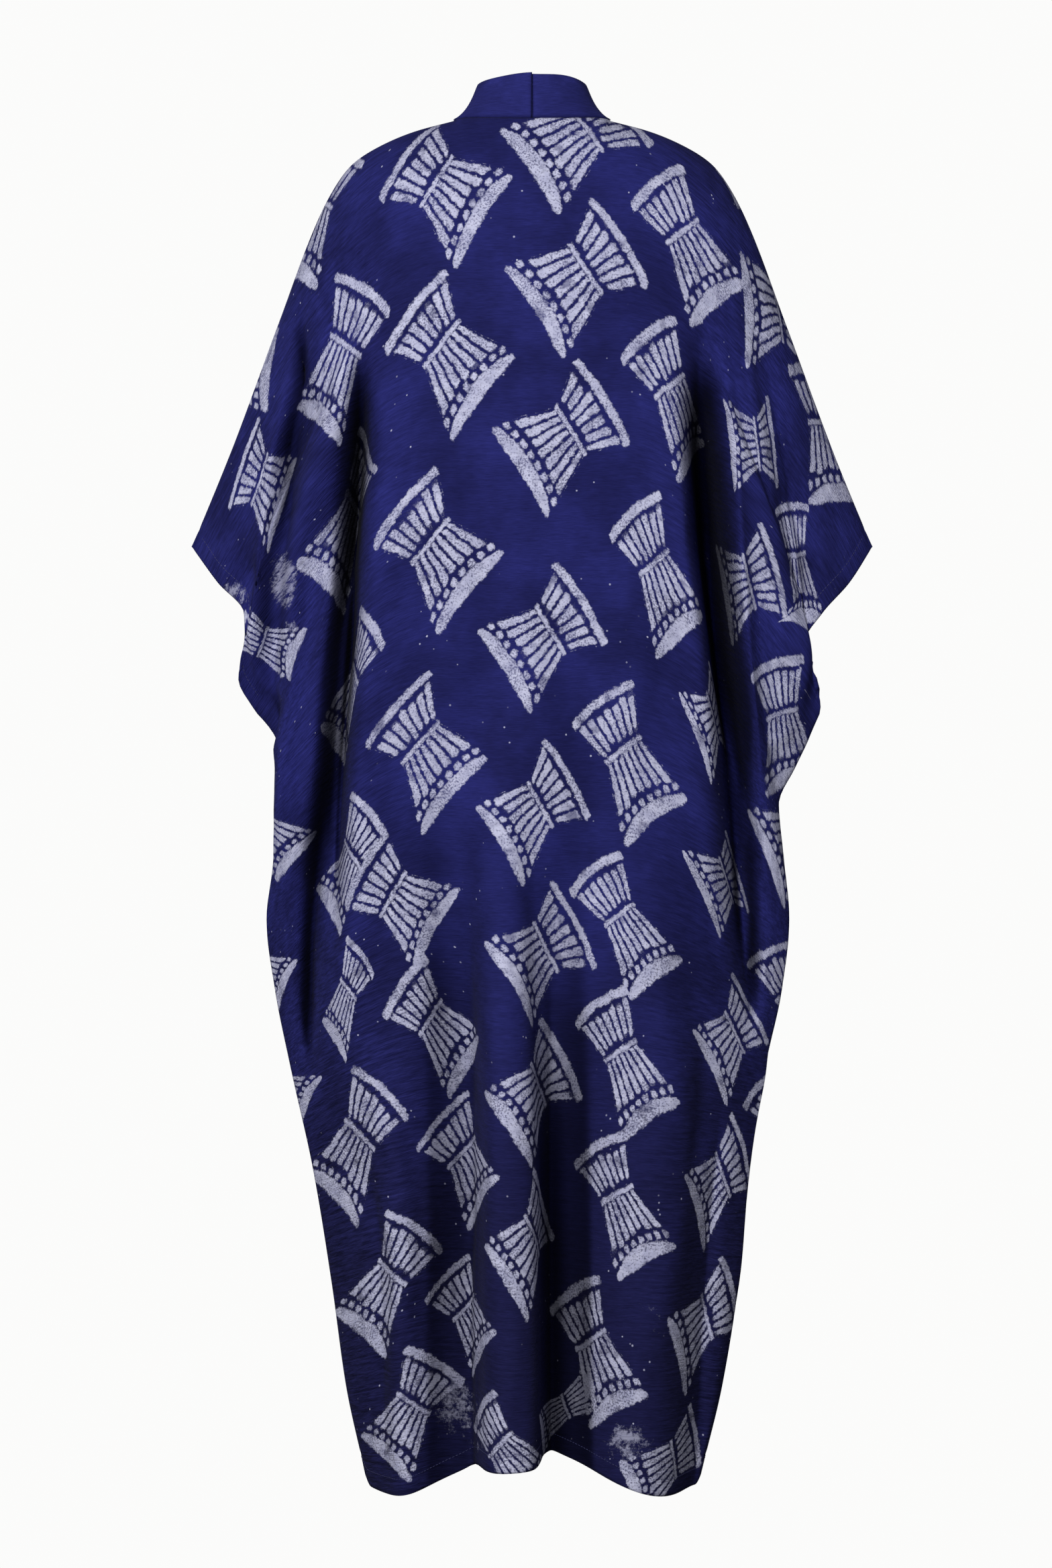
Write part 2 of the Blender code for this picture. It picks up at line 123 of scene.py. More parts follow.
backFolds = {
    "left_sleeve": ((198, -170, 238, -370, 262, -600), 20, 16, 12, 0, 160, 80),
    "left_sleeve_valley": ((188, -180, 226, -400, 238, -600), 16, -26, 0, 0, 160, 100),
    "left_outer": ((158, -200, 204, -420, 232, -800), 26, 20, 20, 0, 180, 200),
    "left_outer_valley": ((158, -280, 186, -480, 205, -840), 17, -46, 0, 0, 140, 280),
    "left_main": ((126, -240, 148, -520, 174, -1020), 28, 18, 24, 0, 220, 360),
    "right_main": ((-130, -220, -142, -480, -200, -760), 26, 12, 16, 0, 160, 160),
    "right_valley": ((-158, -180, -172, -460, -222, -760), 16, -75, 0, 0, 200, 200),
    "right_inner": ((-178, -220, -196, -480, -216, -660), 16, 12, 0, 0, 160, 120),
    "right_sleeve": ((-186, -150, -232, -400, -262, -620), 20, 14, 12, 0, 160, 100),
    "right_sleeve_valley": ((-205, -160, -254, -400, -285, -520), 14, -16, 0, 0, 140, 100),
    "tube": ((30, -550, 27, -950, 21, -1400), 19, 54, 0, 30, 460, 0),
    "tube_left_valley": ((78, -500, 74, -950, 72, -1400), 28, -42, 0, 0, 460, 0),
    "tube_right_valley": ((-30, -600, -32, -950, -36, -1400), 28, -56, 0, 0, 460, 0),
    "left_hem_lobe": ((150, -800, 134, -1100, 122, -1400), 24, 20, 0, 0, 300, 0),
    "right_hem_lobe": ((-120, -600, -122, -1000, -112, -1400), 36, 22, 0, 0, 400, 0),
    "right_hem_valley": ((-165, -900, -160, -1100, -152, -1400), 16, -14, 0, 0, 300, 0),
}
frontFolds = {
    "sleeve": ((200, -170, 240, -380, 260, -600), 20, 16, 12, 0, 160, 80),
    "sleeve_valley": ((186, -180, 222, -420, 236, -640), 18, -30, 0, 0, 160, 140),
    "outer": ((158, -180, 196, -440, 226, -840), 26, 18, 12, 0, 180, 200),
    "outer_valley": ((140, -220, 168, -500, 196, -920), 18, -36, 0, 0, 180, 240),
    "middle": ((116, -260, 132, -600, 150, -1400), 28, 20, 6, 0, 300, 0),
    "hem_valley": ((96, -550, 100, -950, 112, -1400), 22, -30, 0, 0, 400, 0),
    "hem_lobe": ((78, -500, 78, -950, 80, -1400), 20, 16, 0, 0, 400, 0),
}


def smooth(t):
    t = np.clip(t, 0.0, 1.0)
    return t * t * (3 - 2 * t)


def curve(x, at, value):    # a soft curve through the points (at, value), with no swing past them
    if at[0] > at[-1]:
        at, value = at[::-1], value[::-1]
    step, slope = np.diff(at), np.diff(value) / np.diff(at)
    before, after = slope[:-1], slope[1:]
    sameWay = before * after > 0
    between = np.where(sameWay, 2 * before * after / np.where(sameWay, before + after, 1), 0)
    tangent = np.concatenate([[slope[0]], between, [slope[-1]]])
    x = np.clip(x, at[0], at[-1])
    i = np.clip(np.searchsorted(at, x, side="right") - 1, 0, len(step) - 1)
    t = (x - at[i]) / step[i]
    rise = value[i + 1] - value[i]
    return (value[i] + rise * t * t * (3 - 2 * t)
            + step[i] * (tangent[i] * t * (1 - t) ** 2 - tangent[i + 1] * t * t * (1 - t)))


def hill(away, over, power=2):    # 1 at the middle, and falling off over some distance
    return np.exp(-(away / over) ** power)


def running(steps, axis=0):    # the sums of the steps so far, from 0
    return np.concatenate([np.zeros_like(steps.take([0], axis)), np.cumsum(steps, axis=axis)], axis=axis)


def lengths(points, axis=0):    # how far along its line each point lies
    return running(np.linalg.norm(np.diff(points, axis=axis), axis=-1), axis)


def swells(across, z, rows, power):    # one by one: how far aside, how strong, on which side, and its sizes
    for name in sorted(rows):
        line, width, *sizes, grows, fades = rows[name]
        (crest, height), sizes = np.reshape(line, (-1, 2)).T / 1000, np.array(sizes) / 1000
        off = (across - curve(z, height, crest)) / (width / 1000)
        strength = np.exp(-np.abs(off) ** power) * smooth((height[0] - z) / (grows / 1000))
        if fades:
            strength = strength * smooth((z - height[-1]) / (fades / 1000))
        yield off, strength, np.sign(crest[1]), sizes


armSteps = np.hypot(np.diff(armLine["across"]), np.diff(armLine["height"]))
armShares = form["neckHalfWidth"] + running(armSteps)
armShares = armShares / armShares[-1]
neckShare = armShares[0]


def topLine(share):
    a = np.abs(share)
    inNeck = a < neckShare
    across = np.where(inNeck, form["neckHalfWidth"] * a / neckShare, curve(a, armShares, armLine["across"]))
    height = np.where(inNeck, form["neckRise"] * (a / neckShare) ** 2, curve(a, armShares, armLine["height"]))
    return across, height


def plainForm(share, down, front):    # share is -1 to 1 across, down is 0 at the top line to 1 at the hem
    a = np.abs(share)
    acrossTop, heightTop = topLine(share)
    side = sideEdge["height"]
    sideHeight = side[0] + (side[-1] - side[0]) * down
    left, right = (curve(sideHeight, side, sideEdge[word]) for word in ("left", "right"))
    half = np.where(share > 0, left, right)
    innerTop = form["neckHalfWidth"] if front else 0
    inner = curve(down, frontEdge["down"], frontEdge["across"]) if front else 0
    part = (acrossTop - innerTop) / (armLine["across"][-1] - innerTop)
    spread = form["spread"] * smooth(down / form["spreadAt"])
    part = (1 - spread) * part + spread * np.sin(part * np.pi / 2)
    across = inner + (half - inner) * part
    foot = form["hemCentre"] - form["hemSideDrop"] * smooth(across / form["hemDropAt"])
    foot = foot + (side[-1] - foot) * smooth((a - 1 + form["hemBlend"]) / form["hemBlend"])
    height = heightTop + (foot - heightTop) * down
    ring = np.clip(1 - np.minimum(across / half, 1) ** form["ringFlat"], 0, 1) ** form["ringSharp"]
    mouth = np.sin(np.pi * np.clip(down / form["mouthLength"], 0, 1)) * form["mouthHalfGap"]
    mouth = mouth * a ** form["mouthReach"]
    depth = curve(down, depthOut["down"], depthOut["front" if front else "back"]) * ring + mouth
    roundOver = form["roundOver"] + (form["roundOverTip"] - form["roundOver"]) * a
    roundOver = roundOver * (form["roundOverFront"] if front else 1)
    drop = np.clip((heightTop - height) / roundOver, 0, 1)
    over = np.sqrt(np.clip(1 - (1 - drop) ** 2, 0, 1))
    start = np.zeros_like(a)
    if not front:
        start = form["neckBackDepth"] * np.sqrt(np.clip(1 - (acrossTop / form["neckHalfWidth"]) ** 2, 0, 1))
        start = np.where(a < neckShare, start, 0)
    y = start + (depth - start) * over + form["seamGap"] / 2
    return np.stack([np.sign(share) * across, -y if front else y, height], axis=-1), part


def withFolds(grid, folds, side, calm, clear):    # side is -1 where the table is for the other side
    across, z = grid[..., 0] * side, grid[..., 2]
    out, depth = np.sign(grid[..., 1]), np.abs(grid[..., 1])
    rise, lean = np.zeros_like(z), np.zeros_like(z)
    for off, strength, aside, (high, leaning, bulb) in swells(across, z, folds, 2):
        rise += high * (strength * calm)
        lean += (leaning * aside + bulb * off) * (strength * calm)
    room = np.maximum(depth - clear, 1e-6)
    sunk = clear + room * np.exp(np.minimum(rise, 0) / room)
    depth = np.where(depth > clear, sunk, depth) + np.maximum(rise, 0)
    return np.stack([(across + lean) * side, out * depth, z], axis=-1)


def normals(grid):
    across, down = np.gradient(grid, axis=0), np.gradient(grid, axis=1)
    n = np.cross(across, down)
    return n / np.maximum(np.linalg.norm(n, axis=-1, keepdims=True), 1e-12)


# Edges of the folds that stand over a crease, as the folds are given, and the creases below them: line, half
# width, depth, lengths over which it grows and fades.

backEdges = {
    "left": ((172, -200, 178, -300, 184, -420, 196, -520), 11, 10, -6, 0, 120, 140),
    "left_second": ((188, -280, 190, -370, 195, -440, 203, -510, 210, -600, 217, -760),
                    16, 26, -4, 0, 140, 160),
    "left_inner": ((152, -440, 166, -580, 171, -680, 176, -840), 10, 8, 4, 0, 100, 160),
    "right": ((-180, -260, -190, -420, -204, -560, -216, -700), 12, 12, 6, 0, 120, 120),
    "right_main": ((-138, -240, -146, -400, -160, -540, -176, -720), 10, 6, 4, 0, 120, 140),
    "tube_left": ((42, -800, 37, -1100, 35, -1400), 9, 3, 5, 0, 300, 0),
    "tube_right": ((2, -800, 4, -1100, 3, -1400), 9, 3, -5, 0, 300, 0),
}
deepCreases = {
    "left": ((160, -200, 165, -300, 170, -390, 174, -500, 182, -600, 187, -700, 190, -840), 11, 86, 140, 180),
    "left_sleeve": ((224, -150, 218, -240, 228, -300, 233, -370, 242, -440), 8, 20, 90, 80),
    "left_lower": ((196, -620, 206, -700, 213, -790, 216, -940), 9, 34, 100, 120),
    "left_hem": ((158, -940, 146, -1120, 138, -1340), 8, 12, 160, 120),
    "right": ((-157, -200, -166, -360, -175, -460, -187, -590, -194, -670, -204, -760, -212, -900),
              12, 58, 140, 160),
    "right_sleeve": ((-206, -200, -238, -350, -250, -430, -266, -510), 8, 20, 100, 70),
    "right_upper": ((-184, -160, -196, -250, -212, -360), 7, 10, 80, 100),
    "right_hem": ((-186, -900, -168, -1100, -156, -1340), 8, 12, 160, 120),
    "tube_left": ((60, -720, 54, -1000, 51, -1200, 51, -1450), 12, 36, 400, 0),
    "tube_right": ((-20, -700, -17, -1000, -18, -1200, -19, -1450), 12, 36, 400, 0),
}
creaseShape = {
    "sharp": 1.4,    # power of a deep crease's flanks, where 2 is round
    "bend": 0.12,    # how far a fine crease bows aside, and how much of it either end takes, as shares of it
    "ends": 0.35,
}


def withDeepCreases(grid, creases, calm):
    x, y, z = grid[..., 0], grid[..., 1], grid[..., 2]
    drop = np.zeros_like(z)
    for _, strength, _, (depth,) in swells(x, z, creases, creaseShape["sharp"]):
        drop += depth * strength * calm
    return np.stack([x, y - drop, z], axis=-1)


# Finer creases on the worn form: across and height of both ends and half width in millimetres,
# rise in tenths of one. The front's list is for its left side, and is turned over for its right.

backCreases = (
    (176, -100, 262, -300, 13, 30), (186, -160, 286, -380, 11, -28), (120, -60, 170, -160, 18, 26),
    (150, -100, 196, -240, 12, -30), (250, -360, 316, -430, 10, 24), (236, -440, 300, -420, 9, -26),
    (226, -520, 274, -480, 9, 30), (232, -560, 276, -540, 8, -30), (222, -620, 256, -580, 8, 26),
    (212, -700, 246, -660, 9, -24), (100, -220, 104, -720, 20, -62), (58, -300, 64, -800, 24, 50),
    (12, -400, 6, -860, 18, -58), (-44, -260, -52, -700, 24, 50), (-94, -160, -100, -620, 18, -56),
    (-120, -60, -180, -180, 16, 28), (-186, -100, -270, -300, 12, -30), (-196, -140, -300, -370, 12, 28),
    (-216, -360, -306, -400, 10, -24), (-222, -460, -276, -460, 9, 26), (-226, -540, -276, -520, 9, -30),
    (-216, -620, -262, -580, 8, 26), (106, -740, 112, -1200, 18, -40), (182, -860, 150, -1240, 12, 40),
    (206, -920, 168, -1300, 9, -34), (-78, -720, -74, -1260, 16, 44), (-138, -780, -128, -1060, 12, -36),
    (-190, -800, -176, -1180, 12, 36), (-204, -980, -172, -1300, 9, -30), (52, -1020, 50, -1300, 10, 30),
)
frontCreases = (
    (110, -100, 170, -240, 14, 30), (186, -120, 270, -340, 12, -30), (90, -140, 84, -560, 18, -36),
    (230, -400, 296, -420, 10, 26), (226, -500, 272, -480, 9, -28), (222, -600, 256, -560, 9, 26),
    (186, -740, 176, -1200, 14, -44), (206, -820, 176, -1260, 10, 36), (122, -800, 128, -1200, 14, 36),
    (66, -660, 64, -1200, 12, -30),
)


def withCreases(grid, creases, side, calm):    # soft troughs and ridges, moved along the cloth's own normals
    x, z = grid[..., 0] * side, grid[..., 2]
    rise = np.zeros_like(x)
    for x0, z0, x1, z1, width, height in np.array(creases) / (1000, 1000, 1000, 1000, 1000, 10000):
        length = math.hypot(x1 - x0, z1 - z0)
        along = ((x - x0) * (x1 - x0) + (z - z0) * (z1 - z0)) / length
        off = ((x - x0) * (z1 - z0) - (z - z0) * (x1 - x0)) / length
        bend = creaseShape["bend"] * length * np.sin(np.pi * np.clip(along / length, 0, 1))
        end = creaseShape["ends"] * length
        ends = smooth(along / end) * smooth((length - along) / end)
        rise += height * hill(off - bend, width) * ends
    return grid + normals(grid) * (rise * calm)[..., None]


def backSurface(share, down):
    grid, part = plainForm(share, down, front=False)
    calm = smooth((1 - part) / form["calmEdge"])
    grid = withFolds(grid, backFolds, 1, calm, form["clear"] * calm)
    grid = withFolds(grid, backEdges, 1, calm, form["clear"] * calm)
    return withDeepCreases(grid, deepCreases, calm)


def frontSurface(side):
    def surface(share, down):
        grid, part = plainForm(side * (neckShare + (1 - neckShare) * share), down, front=True)
        calm = smooth((1 - part) / form["calmEdge"])
        return withFolds(grid, frontFolds, side, calm * smooth(part / form["calmBand"]), form["clear"] * calm)
    return surface


# Cloth panels: a fine grid over the same form, with a thin wall, turned hems and sewn edges.

cloth = {
    "thickness": 0.0009,
    "hemWidth": 0.018,
    "hemLayers": 2.4,       # thickness of a turned hem, in layers of cloth
    "hemPress": 0.0005,     # depth of the groove that its stitches pull in
    "hemBlend": 0.003,
    "seamPinch": 0.0009,    # how far a sewn edge turns in
    "seamPinchWidth": 0.004,
    "seamFromNeck": 0.03,
    "mouthBlend": 0.006,
    "calmColumns": 8,       # fine creases start this far in from the side edges, and below the top line
    "calmTop": 0.03,
    "backColumns": 296,
    "frontColumns": 120,
    "rows": 160,
    "fineColumns": 1400,
    "fineRows": 2001,
    "topCrowding": (3.0, 0.05),    # how much closer the rows or columns lie at an edge, and over what share
    "hemCrowding": (2.0, 0.02),
    "edgeCrowding": (1.6, 0.03),
    "evenings": 6,          # rounds that let the columns change slowly from row to row
}


def rowLevels():
    fine = np.linspace(0, 1, cloth["fineRows"])
    (top, topOver), (hem, hemOver) = cloth["topCrowding"], cloth["hemCrowding"]
    crowd = 1 + top * hill(fine, topOver) + hem * hill(1 - fine, hemOver)
    steps = running((crowd[1:] + crowd[:-1]) / 2)
    return np.interp(np.linspace(0, steps[-1], cloth["rows"] + 1), steps, fine)


def panelGrid(surface, low, high, columns):    # columns lie evenly along the cloth, closer at its edges
    fine = np.linspace(low, high, cloth["fineColumns"])
    down = rowLevels()
    step = np.linalg.norm(np.diff(surface(*np.meshgrid(fine, down, indexing="ij")), axis=0), axis=-1)
    run = running(step) / step.sum(axis=0)
    edge, edgeOver = cloth["edgeCrowding"]
    crowd = 1 + edge * hill(run, edgeOver) + edge * hill(1 - run, edgeOver)
    run = running(step * (crowd[1:] + crowd[:-1]) / 2)
    wanted = np.linspace(0, 1, columns + 1)
    share = np.stack([np.interp(wanted * run[-1, j], run[:, j], fine) for j in range(len(down))], axis=1)
    for _ in range(cloth["evenings"]):
        share[:, 1:-1] = (share[:, :-2] + 2 * share[:, 1:-1] + share[:, 2:]) / 4
    share[0], share[-1] = low, high
    down = np.broadcast_to(down, share.shape)
    return surface(share, down), share, down


def clothPlaces(grid, share):    # how far each point lies across and down the flat cloth
    across = lengths(grid)
    middle = np.array([np.interp(0, share[:, j], across[:, j]) for j in range(grid.shape[1])])
    return across - middle, lengths(grid, 1)


def quads(spot, turned=False, closed=False):    # faces between a grid's numbered points; turned face away
    if closed:
        spot = np.concatenate([spot, spot[:, :1]], axis=1)
    face = np.stack([spot[:-1, :-1], spot[1:, :-1], spot[1:, 1:], spot[:-1, 1:]], axis=-1).reshape(-1, 4)
    return face[:, (0, 3, 2, 1)] if turned else face


def makePiece(name, verts, faces, material, places, numbers):    # places for corners, numbers for vertices
    mesh = bpy.data.meshes.new(name)
    mesh.from_pydata(verts, [], faces)
    mesh.validate()
    mesh.shade_smooth()
    mesh.materials.append(material)
    for word, values in places.items():
        mesh.uv_layers.new(name=word).data.foreach_set("uv", np.float32(values).ravel())
    for word, values in numbers.items():
        mesh.attributes.new(word, "FLOAT", "POINT").data.foreach_set("value", np.float32(values).ravel())
    piece = bpy.data.objects.new(name, mesh)
    bpy.context.scene.collection.objects.link(piece)
    return piece


def makeWall(name, outer, inner, material, corners, numbers):    # both faces of the cloth, and its edges
    columns, rows = outer.shape[:2]
    count = columns * rows
    spot = np.arange(count).reshape(columns, rows)
    face = quads(spot)
    rims = []
    for line, flip in ((spot[:, 0], True), (spot[:, -1], False), (spot[0], False), (spot[-1], True)):
        rim = np.stack([line[:-1], line[1:], line[1:] + count, line[:-1] + count], axis=-1)
        rims.append(rim[:, ::-1] if flip else rim)
    faces = np.concatenate([face, face[:, ::-1] + count, *rims])
    verts = np.concatenate([outer.reshape(-1, 3), inner.reshape(-1, 3)])
    return makePiece(name, verts.tolist(), faces.tolist(), material, corners(faces % count),
                     {word: np.tile(values.ravel(), 2) for word, values in numbers.items()})


def declare(piece, node=None):
    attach(piece, "root")
    if node:
        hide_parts(node)


# The print: hourglass drums, each stamped by hand in wax. Each row is the middle of a drum as the camera sees
# it in millimetres, its turn in degrees clockwise from pointing right, rim to foot, how far its rim leans
# from square to that, and half its length and breadth as they look from there, on cloth that hangs in folds.

stampColumns = "across height turn lean long wide"
backDrums = table(
    stampColumns,
    # first column from the centre back
    (83, -74, 40, -8, 47, 50), (79, -230, 52, -15, 52, 49), (90, -415, 53, -14, 51, 49),
    (100, -605, 57, -16, 49, 47), (124, -745, 39, -10, 44, 43), (90, -864, 51, -18, 48, 35),
    (60, -990, 62, -24, 44, 34), (58, -1136, 62, -24, 40, 28), (24, -1266, 54, -15, 46, 28),
    # second column
    (-43, -25, 146, -2, 53, 47), (-43, -158, 140, 7, 52, 50), (-28, -309, 140, 8, 51, 48),
    (-10, -497, 138, 10, 48, 46), (-1, -662, 135, 15, 45, 43), (-6, -795, 137, 17, 41, 45),
    (-3, -926, 125, 28, 42, 40), (1, -1069, 118, 36, 42, 38), (-26, -1226, 141, 20, 32, 21),
    # third column
    (-147, -127, 63, -12, 63, 32), (-135, -273, 69, -20, 62, 30), (-119, -439, 69, -21, 61, 31),
    (-91, -615, 66, -13, 61, 36), (-88, -769, 60, -7, 58, 31), (-88, -898, 66, -11, 59, 31),
    (-84, -1033, 67, -8, 58, 30), (-59, -1171, 70, -12, 59, 30),
    # right side
    (-228, -190, 182, -7, 27, 53), (-207, -316, 175, -2, 20, 44), (-199, -448, 153, 13, 29, 47),
    (-169, -577, 128, 35, 20, 44), (-180, -729, 148, 12, 21, 42), (-187, -875, 123, 31, 34, 38),
    (-174, -1010, 128, 36, 37, 38), (-159, -1144, 131, 36, 40, 37), (-128, -1278, 139, 29, 42, 31),
    # right sleeve and edge
    (-210, -69, 166, -13, 27, 21), (-276, -307, 79, 10, 63, 25), (-250, -431, 83, -3, 55, 17),
    (-237, -580, 83, -16, 55, 26), (-244, -691, 147, 15, 28, 49), (-245, -844, 67, -3, 53, 24),
    (-241, -956, 53, -14, 44, 26),
    # left fold
    (180, -235, 108, 20, 65, 30), (172, -386, 110, 31, 69, 28), (171, -543, 111, 37, 59, 21),
    (175, -710, 112, 35, 49, 25), (176, -838, 107, 41, 42, 22), (166, -976, 113, 22, 55, 35),
    (137, -1106, 118, 12, 55, 32), (117, -1229, 118, 6, 50, 32),
    # left sleeve and edge
    (203, -101, 111, -3, 62, 22), (281, -245, 1, 7, 35, 40), (253, -353, 47, -29, 27, 46),
    (248, -504, 26, -6, 29, 25), (250, -682, 46, -8, 33, 27), (253, -812, 30, -10, 25, 25),
    (236, -925, 20, 3, 28, 25),
)
frontDrums = {    # columns of stamps down a front: across at the top and at the hem, first height, turn
    "columns": ((116, 92, -110, 44), (226, 178, -185, 116)),
    "spacing": 152,
    "half": 52,
    "turnJitter": 4.0,
    "seed": 5,
}
drum = {
    "rings": 52,            # steps of the grid over which a stamp's places are walked
    "patch": 0.060,         # around its middle the camera's view of the cloth is fitted
    "leastFacing": 0.42,
    "flattened": 0.55,    # how far a stamp keeps the shape that the camera sees, rather than the cloth's
    "outward": 0.05,      # of two layers that look equally near, the outer one is stamped
    "unreached": 9.0,
    "farOff": 4.0,
    "countsWithin": 3.9,
    "seeds": {"back": 11, "front_left": 21, "front_right": 31},
}


def carried(direction, n, nextNormal):    # a direction in the cloth, turned with its normal
    axis = np.cross(n, nextNormal)
    lean = np.sum(n * nextNormal, axis=-1, keepdims=True)
    swing = np.cross(axis, direction)
    return direction + swing + np.cross(axis, swing) / (1 + lean)


def unrolled(grid, n, i, j, right):    # places around a point of the cloth, walked outwards and laid flat
    columns, rows = grid.shape[:2]
    place = np.full((columns, rows, 2), drum["unreached"])
    along = np.zeros((columns, rows, 3))
    place[i, j], along[i, j] = 0, right
    for ring in range(1, drum["rings"] + 1):
        line = np.arange(-ring, ring + 1)
        edge = np.full(len(line), ring)
        steps = np.concatenate([np.stack(pair) for pair in
                                ((line, edge), (line, -edge), (edge, line), (-edge, line))], axis=1)
        inner = np.rint(steps * (ring - 1) / ring).astype(int)
        a, b = i + steps[0], j + steps[1]
        inside = (a >= 0) & (a < columns) & (b >= 0) & (b < rows)
        a, b, c, d = a[inside], b[inside], i + inner[0][inside], j + inner[1][inside]
        across = along[c, d]
        step = grid[a, b] - grid[c, d]
        lower = -np.cross(n[c, d], across)
        flat = np.stack([np.sum(step * across, axis=-1), np.sum(step * lower, axis=-1)], axis=-1)
        flat *= (np.linalg.norm(step, axis=-1) / np.maximum(np.linalg.norm(flat, axis=-1), 1e-9))[:, None]
        place[a, b] = place[c, d] + flat
        along[a, b] = carried(across, n[c, d], n[a, b])
    return place


def seenPlaces(grid, outsideRight):    # places across and down as the camera sees them, on the reading plane
    scale = (camera["distance"] - camera["readingDepth"]) / (camera["distance"] + outsideRight * grid[..., 1])
    return (camera["across"] + (grid[..., 0] - camera["across"]) * scale,
            camera["height"] + (grid[..., 2] - camera["height"]) * scale)


def foreshortening(place, seen):    # how the camera sees a step on the cloth around a drum's middle
    near = np.linalg.norm(place, axis=-1) < drum["patch"]
    view = np.linalg.lstsq(place[near], seen[near], rcond=None)[0].T
    turned, size, back = np.linalg.svd(view)
    return turned @ np.diag(np.maximum(size, drum["leastFacing"])) @ back


def stampedPlaces(grid, outsideRight, rows, asSeen, random):    # each drum's own coordinates on the grid
    n = normals(grid)
    across, height = seenPlaces(grid, outsideRight)
    stamps, dice = [], []
    for x, z, turn, lean, long, wide in zip(*(rows[word] for word in stampColumns.split())):
        x, z = x / 1000, z / 1000
        miss = np.hypot(across - x, height - z) - drum["outward"] * np.abs(grid[..., 1])
        i, j = np.unravel_index(np.argmin(miss), miss.shape)
        right = np.array([outsideRight, 0, 0]) - n[i, j] * (outsideRight * n[i, j, 0])
        place = unrolled(grid, n, i, j, right / np.linalg.norm(right))
        seen = np.stack([(across - across[i, j]) * outsideRight, height[i, j] - height], axis=-1)
        view = foreshortening(place, seen) if asSeen else np.eye(2)
        axes = np.radians([turn, turn + 90 + lean])
        axes = np.stack([np.cos(axes), np.sin(axes)]) * (long / 1000, wide / 1000)
        aside = np.array([(across[i, j] - x) * outsideRight, z - height[i, j]]) * asSeen
        flattened = drum["flattened"] * asSeen
        own = (place @ view.T * (1 - flattened) + seen * flattened + aside) @ np.linalg.inv(axes).T
        own[place[..., 0] == drum["unreached"]] = drum["farOff"]
        stamps.append(np.clip(own, -drum["farOff"], drum["farOff"]).reshape(-1, 2))
        dice.append(random.uniform(0, 1))
    stamps.append(np.full_like(stamps[0], drum["farOff"]))    # a blank, for cloth that no drum reaches
    return np.array(stamps), np.array(dice + [0])


def printCorners(weave, stamps, dice):    # for each face, its two nearest drums' own coordinates
    def corners(faces):
        blank = len(stamps) - 1
        near = after = np.full(len(faces), drum["countsWithin"])
        first = second = np.full(len(faces), blank)
        for k in range(blank):
            away = np.abs(stamps[k][faces]).max(axis=(1, 2))
            isFirst = away < near
            isSecond = ~isFirst & (away < after)
            after = np.where(isFirst, near, np.where(isSecond, away, after))
            second = np.where(isFirst, first, np.where(isSecond, k, second))
            near, first = np.where(isFirst, away, near), np.where(isFirst, k, first)
        both = np.stack([dice[first], dice[second]], axis=-1)
        return {"weave": weave[faces], "drumNear": stamps[first[:, None], faces],
                "drumNext": stamps[second[:, None], faces], "drumDice": np.repeat(both[:, None], 4, axis=1)}
    return corners


weft = {
    "droop": 3.0,
    "straightTo": 0.09,
    "power": 1.7,
    "lowLeft": 0.55,    # share of the droop that is left at the hem on each side
    "lowRight": 0.25,
    "lowAt": -1.1,
    "lowOver": 0.6,
}


def weavePlaces(grid, share):    # across the cloth and along its length; the weft droops towards the sleeves
    across, _ = clothPlaces(grid, share)
    out = np.maximum(np.abs(grid[..., 0]) - weft["straightTo"], 0)
    low = np.where(grid[..., 0] > 0, weft["lowLeft"], weft["lowRight"])
    high = smooth((grid[..., 2] - weft["lowAt"]) / weft["lowOver"])
    droop = weft["droop"] * out ** weft["power"] * (low + (1 - low) * high)
    return np.stack([across, -grid[..., 2] - droop], axis=-1).reshape(-1, 2)


# Paint. A small wrapper lets shader sums be written as plain expressions.

def maths(operation, turned=False):    # a method that adds a Math node for a wire and what stands beside it
    def method(wire, *others):
        ends = (wire, *others)[::-1] if turned else (wire, *others)
        return wire.paint.node("ShaderNodeMath", {"operation": operation}, dict(enumerate(ends)))
    return method


class Wire:
    def __init__(self, paint, socket):
        self.paint, self.socket = paint, socket

    __add__, __radd__ = maths("ADD"), maths("ADD", True)
    __sub__, __rsub__ = maths("SUBTRACT"), maths("SUBTRACT", True)
    __mul__, __rmul__ = maths("MULTIPLY"), maths("MULTIPLY", True)
    __truediv__, __rtruediv__ = maths("DIVIDE"), maths("DIVIDE", True)
    abs, floor, fract, root = [maths(word) for word in ("ABSOLUTE", "FLOOR", "FRACT", "SQRT")]
    least, most = maths("MINIMUM"), maths("MAXIMUM")

    def fade(self, low, high, start=0.0, end=1.0):    # from start to end as the value goes from low to high
        return self.paint.node("ShaderNodeMapRange", {"interpolation_type": "SMOOTHSTEP"}, {
            "Value": self, "From Min": low, "From Max": high, "To Min": start, "To Max": end})


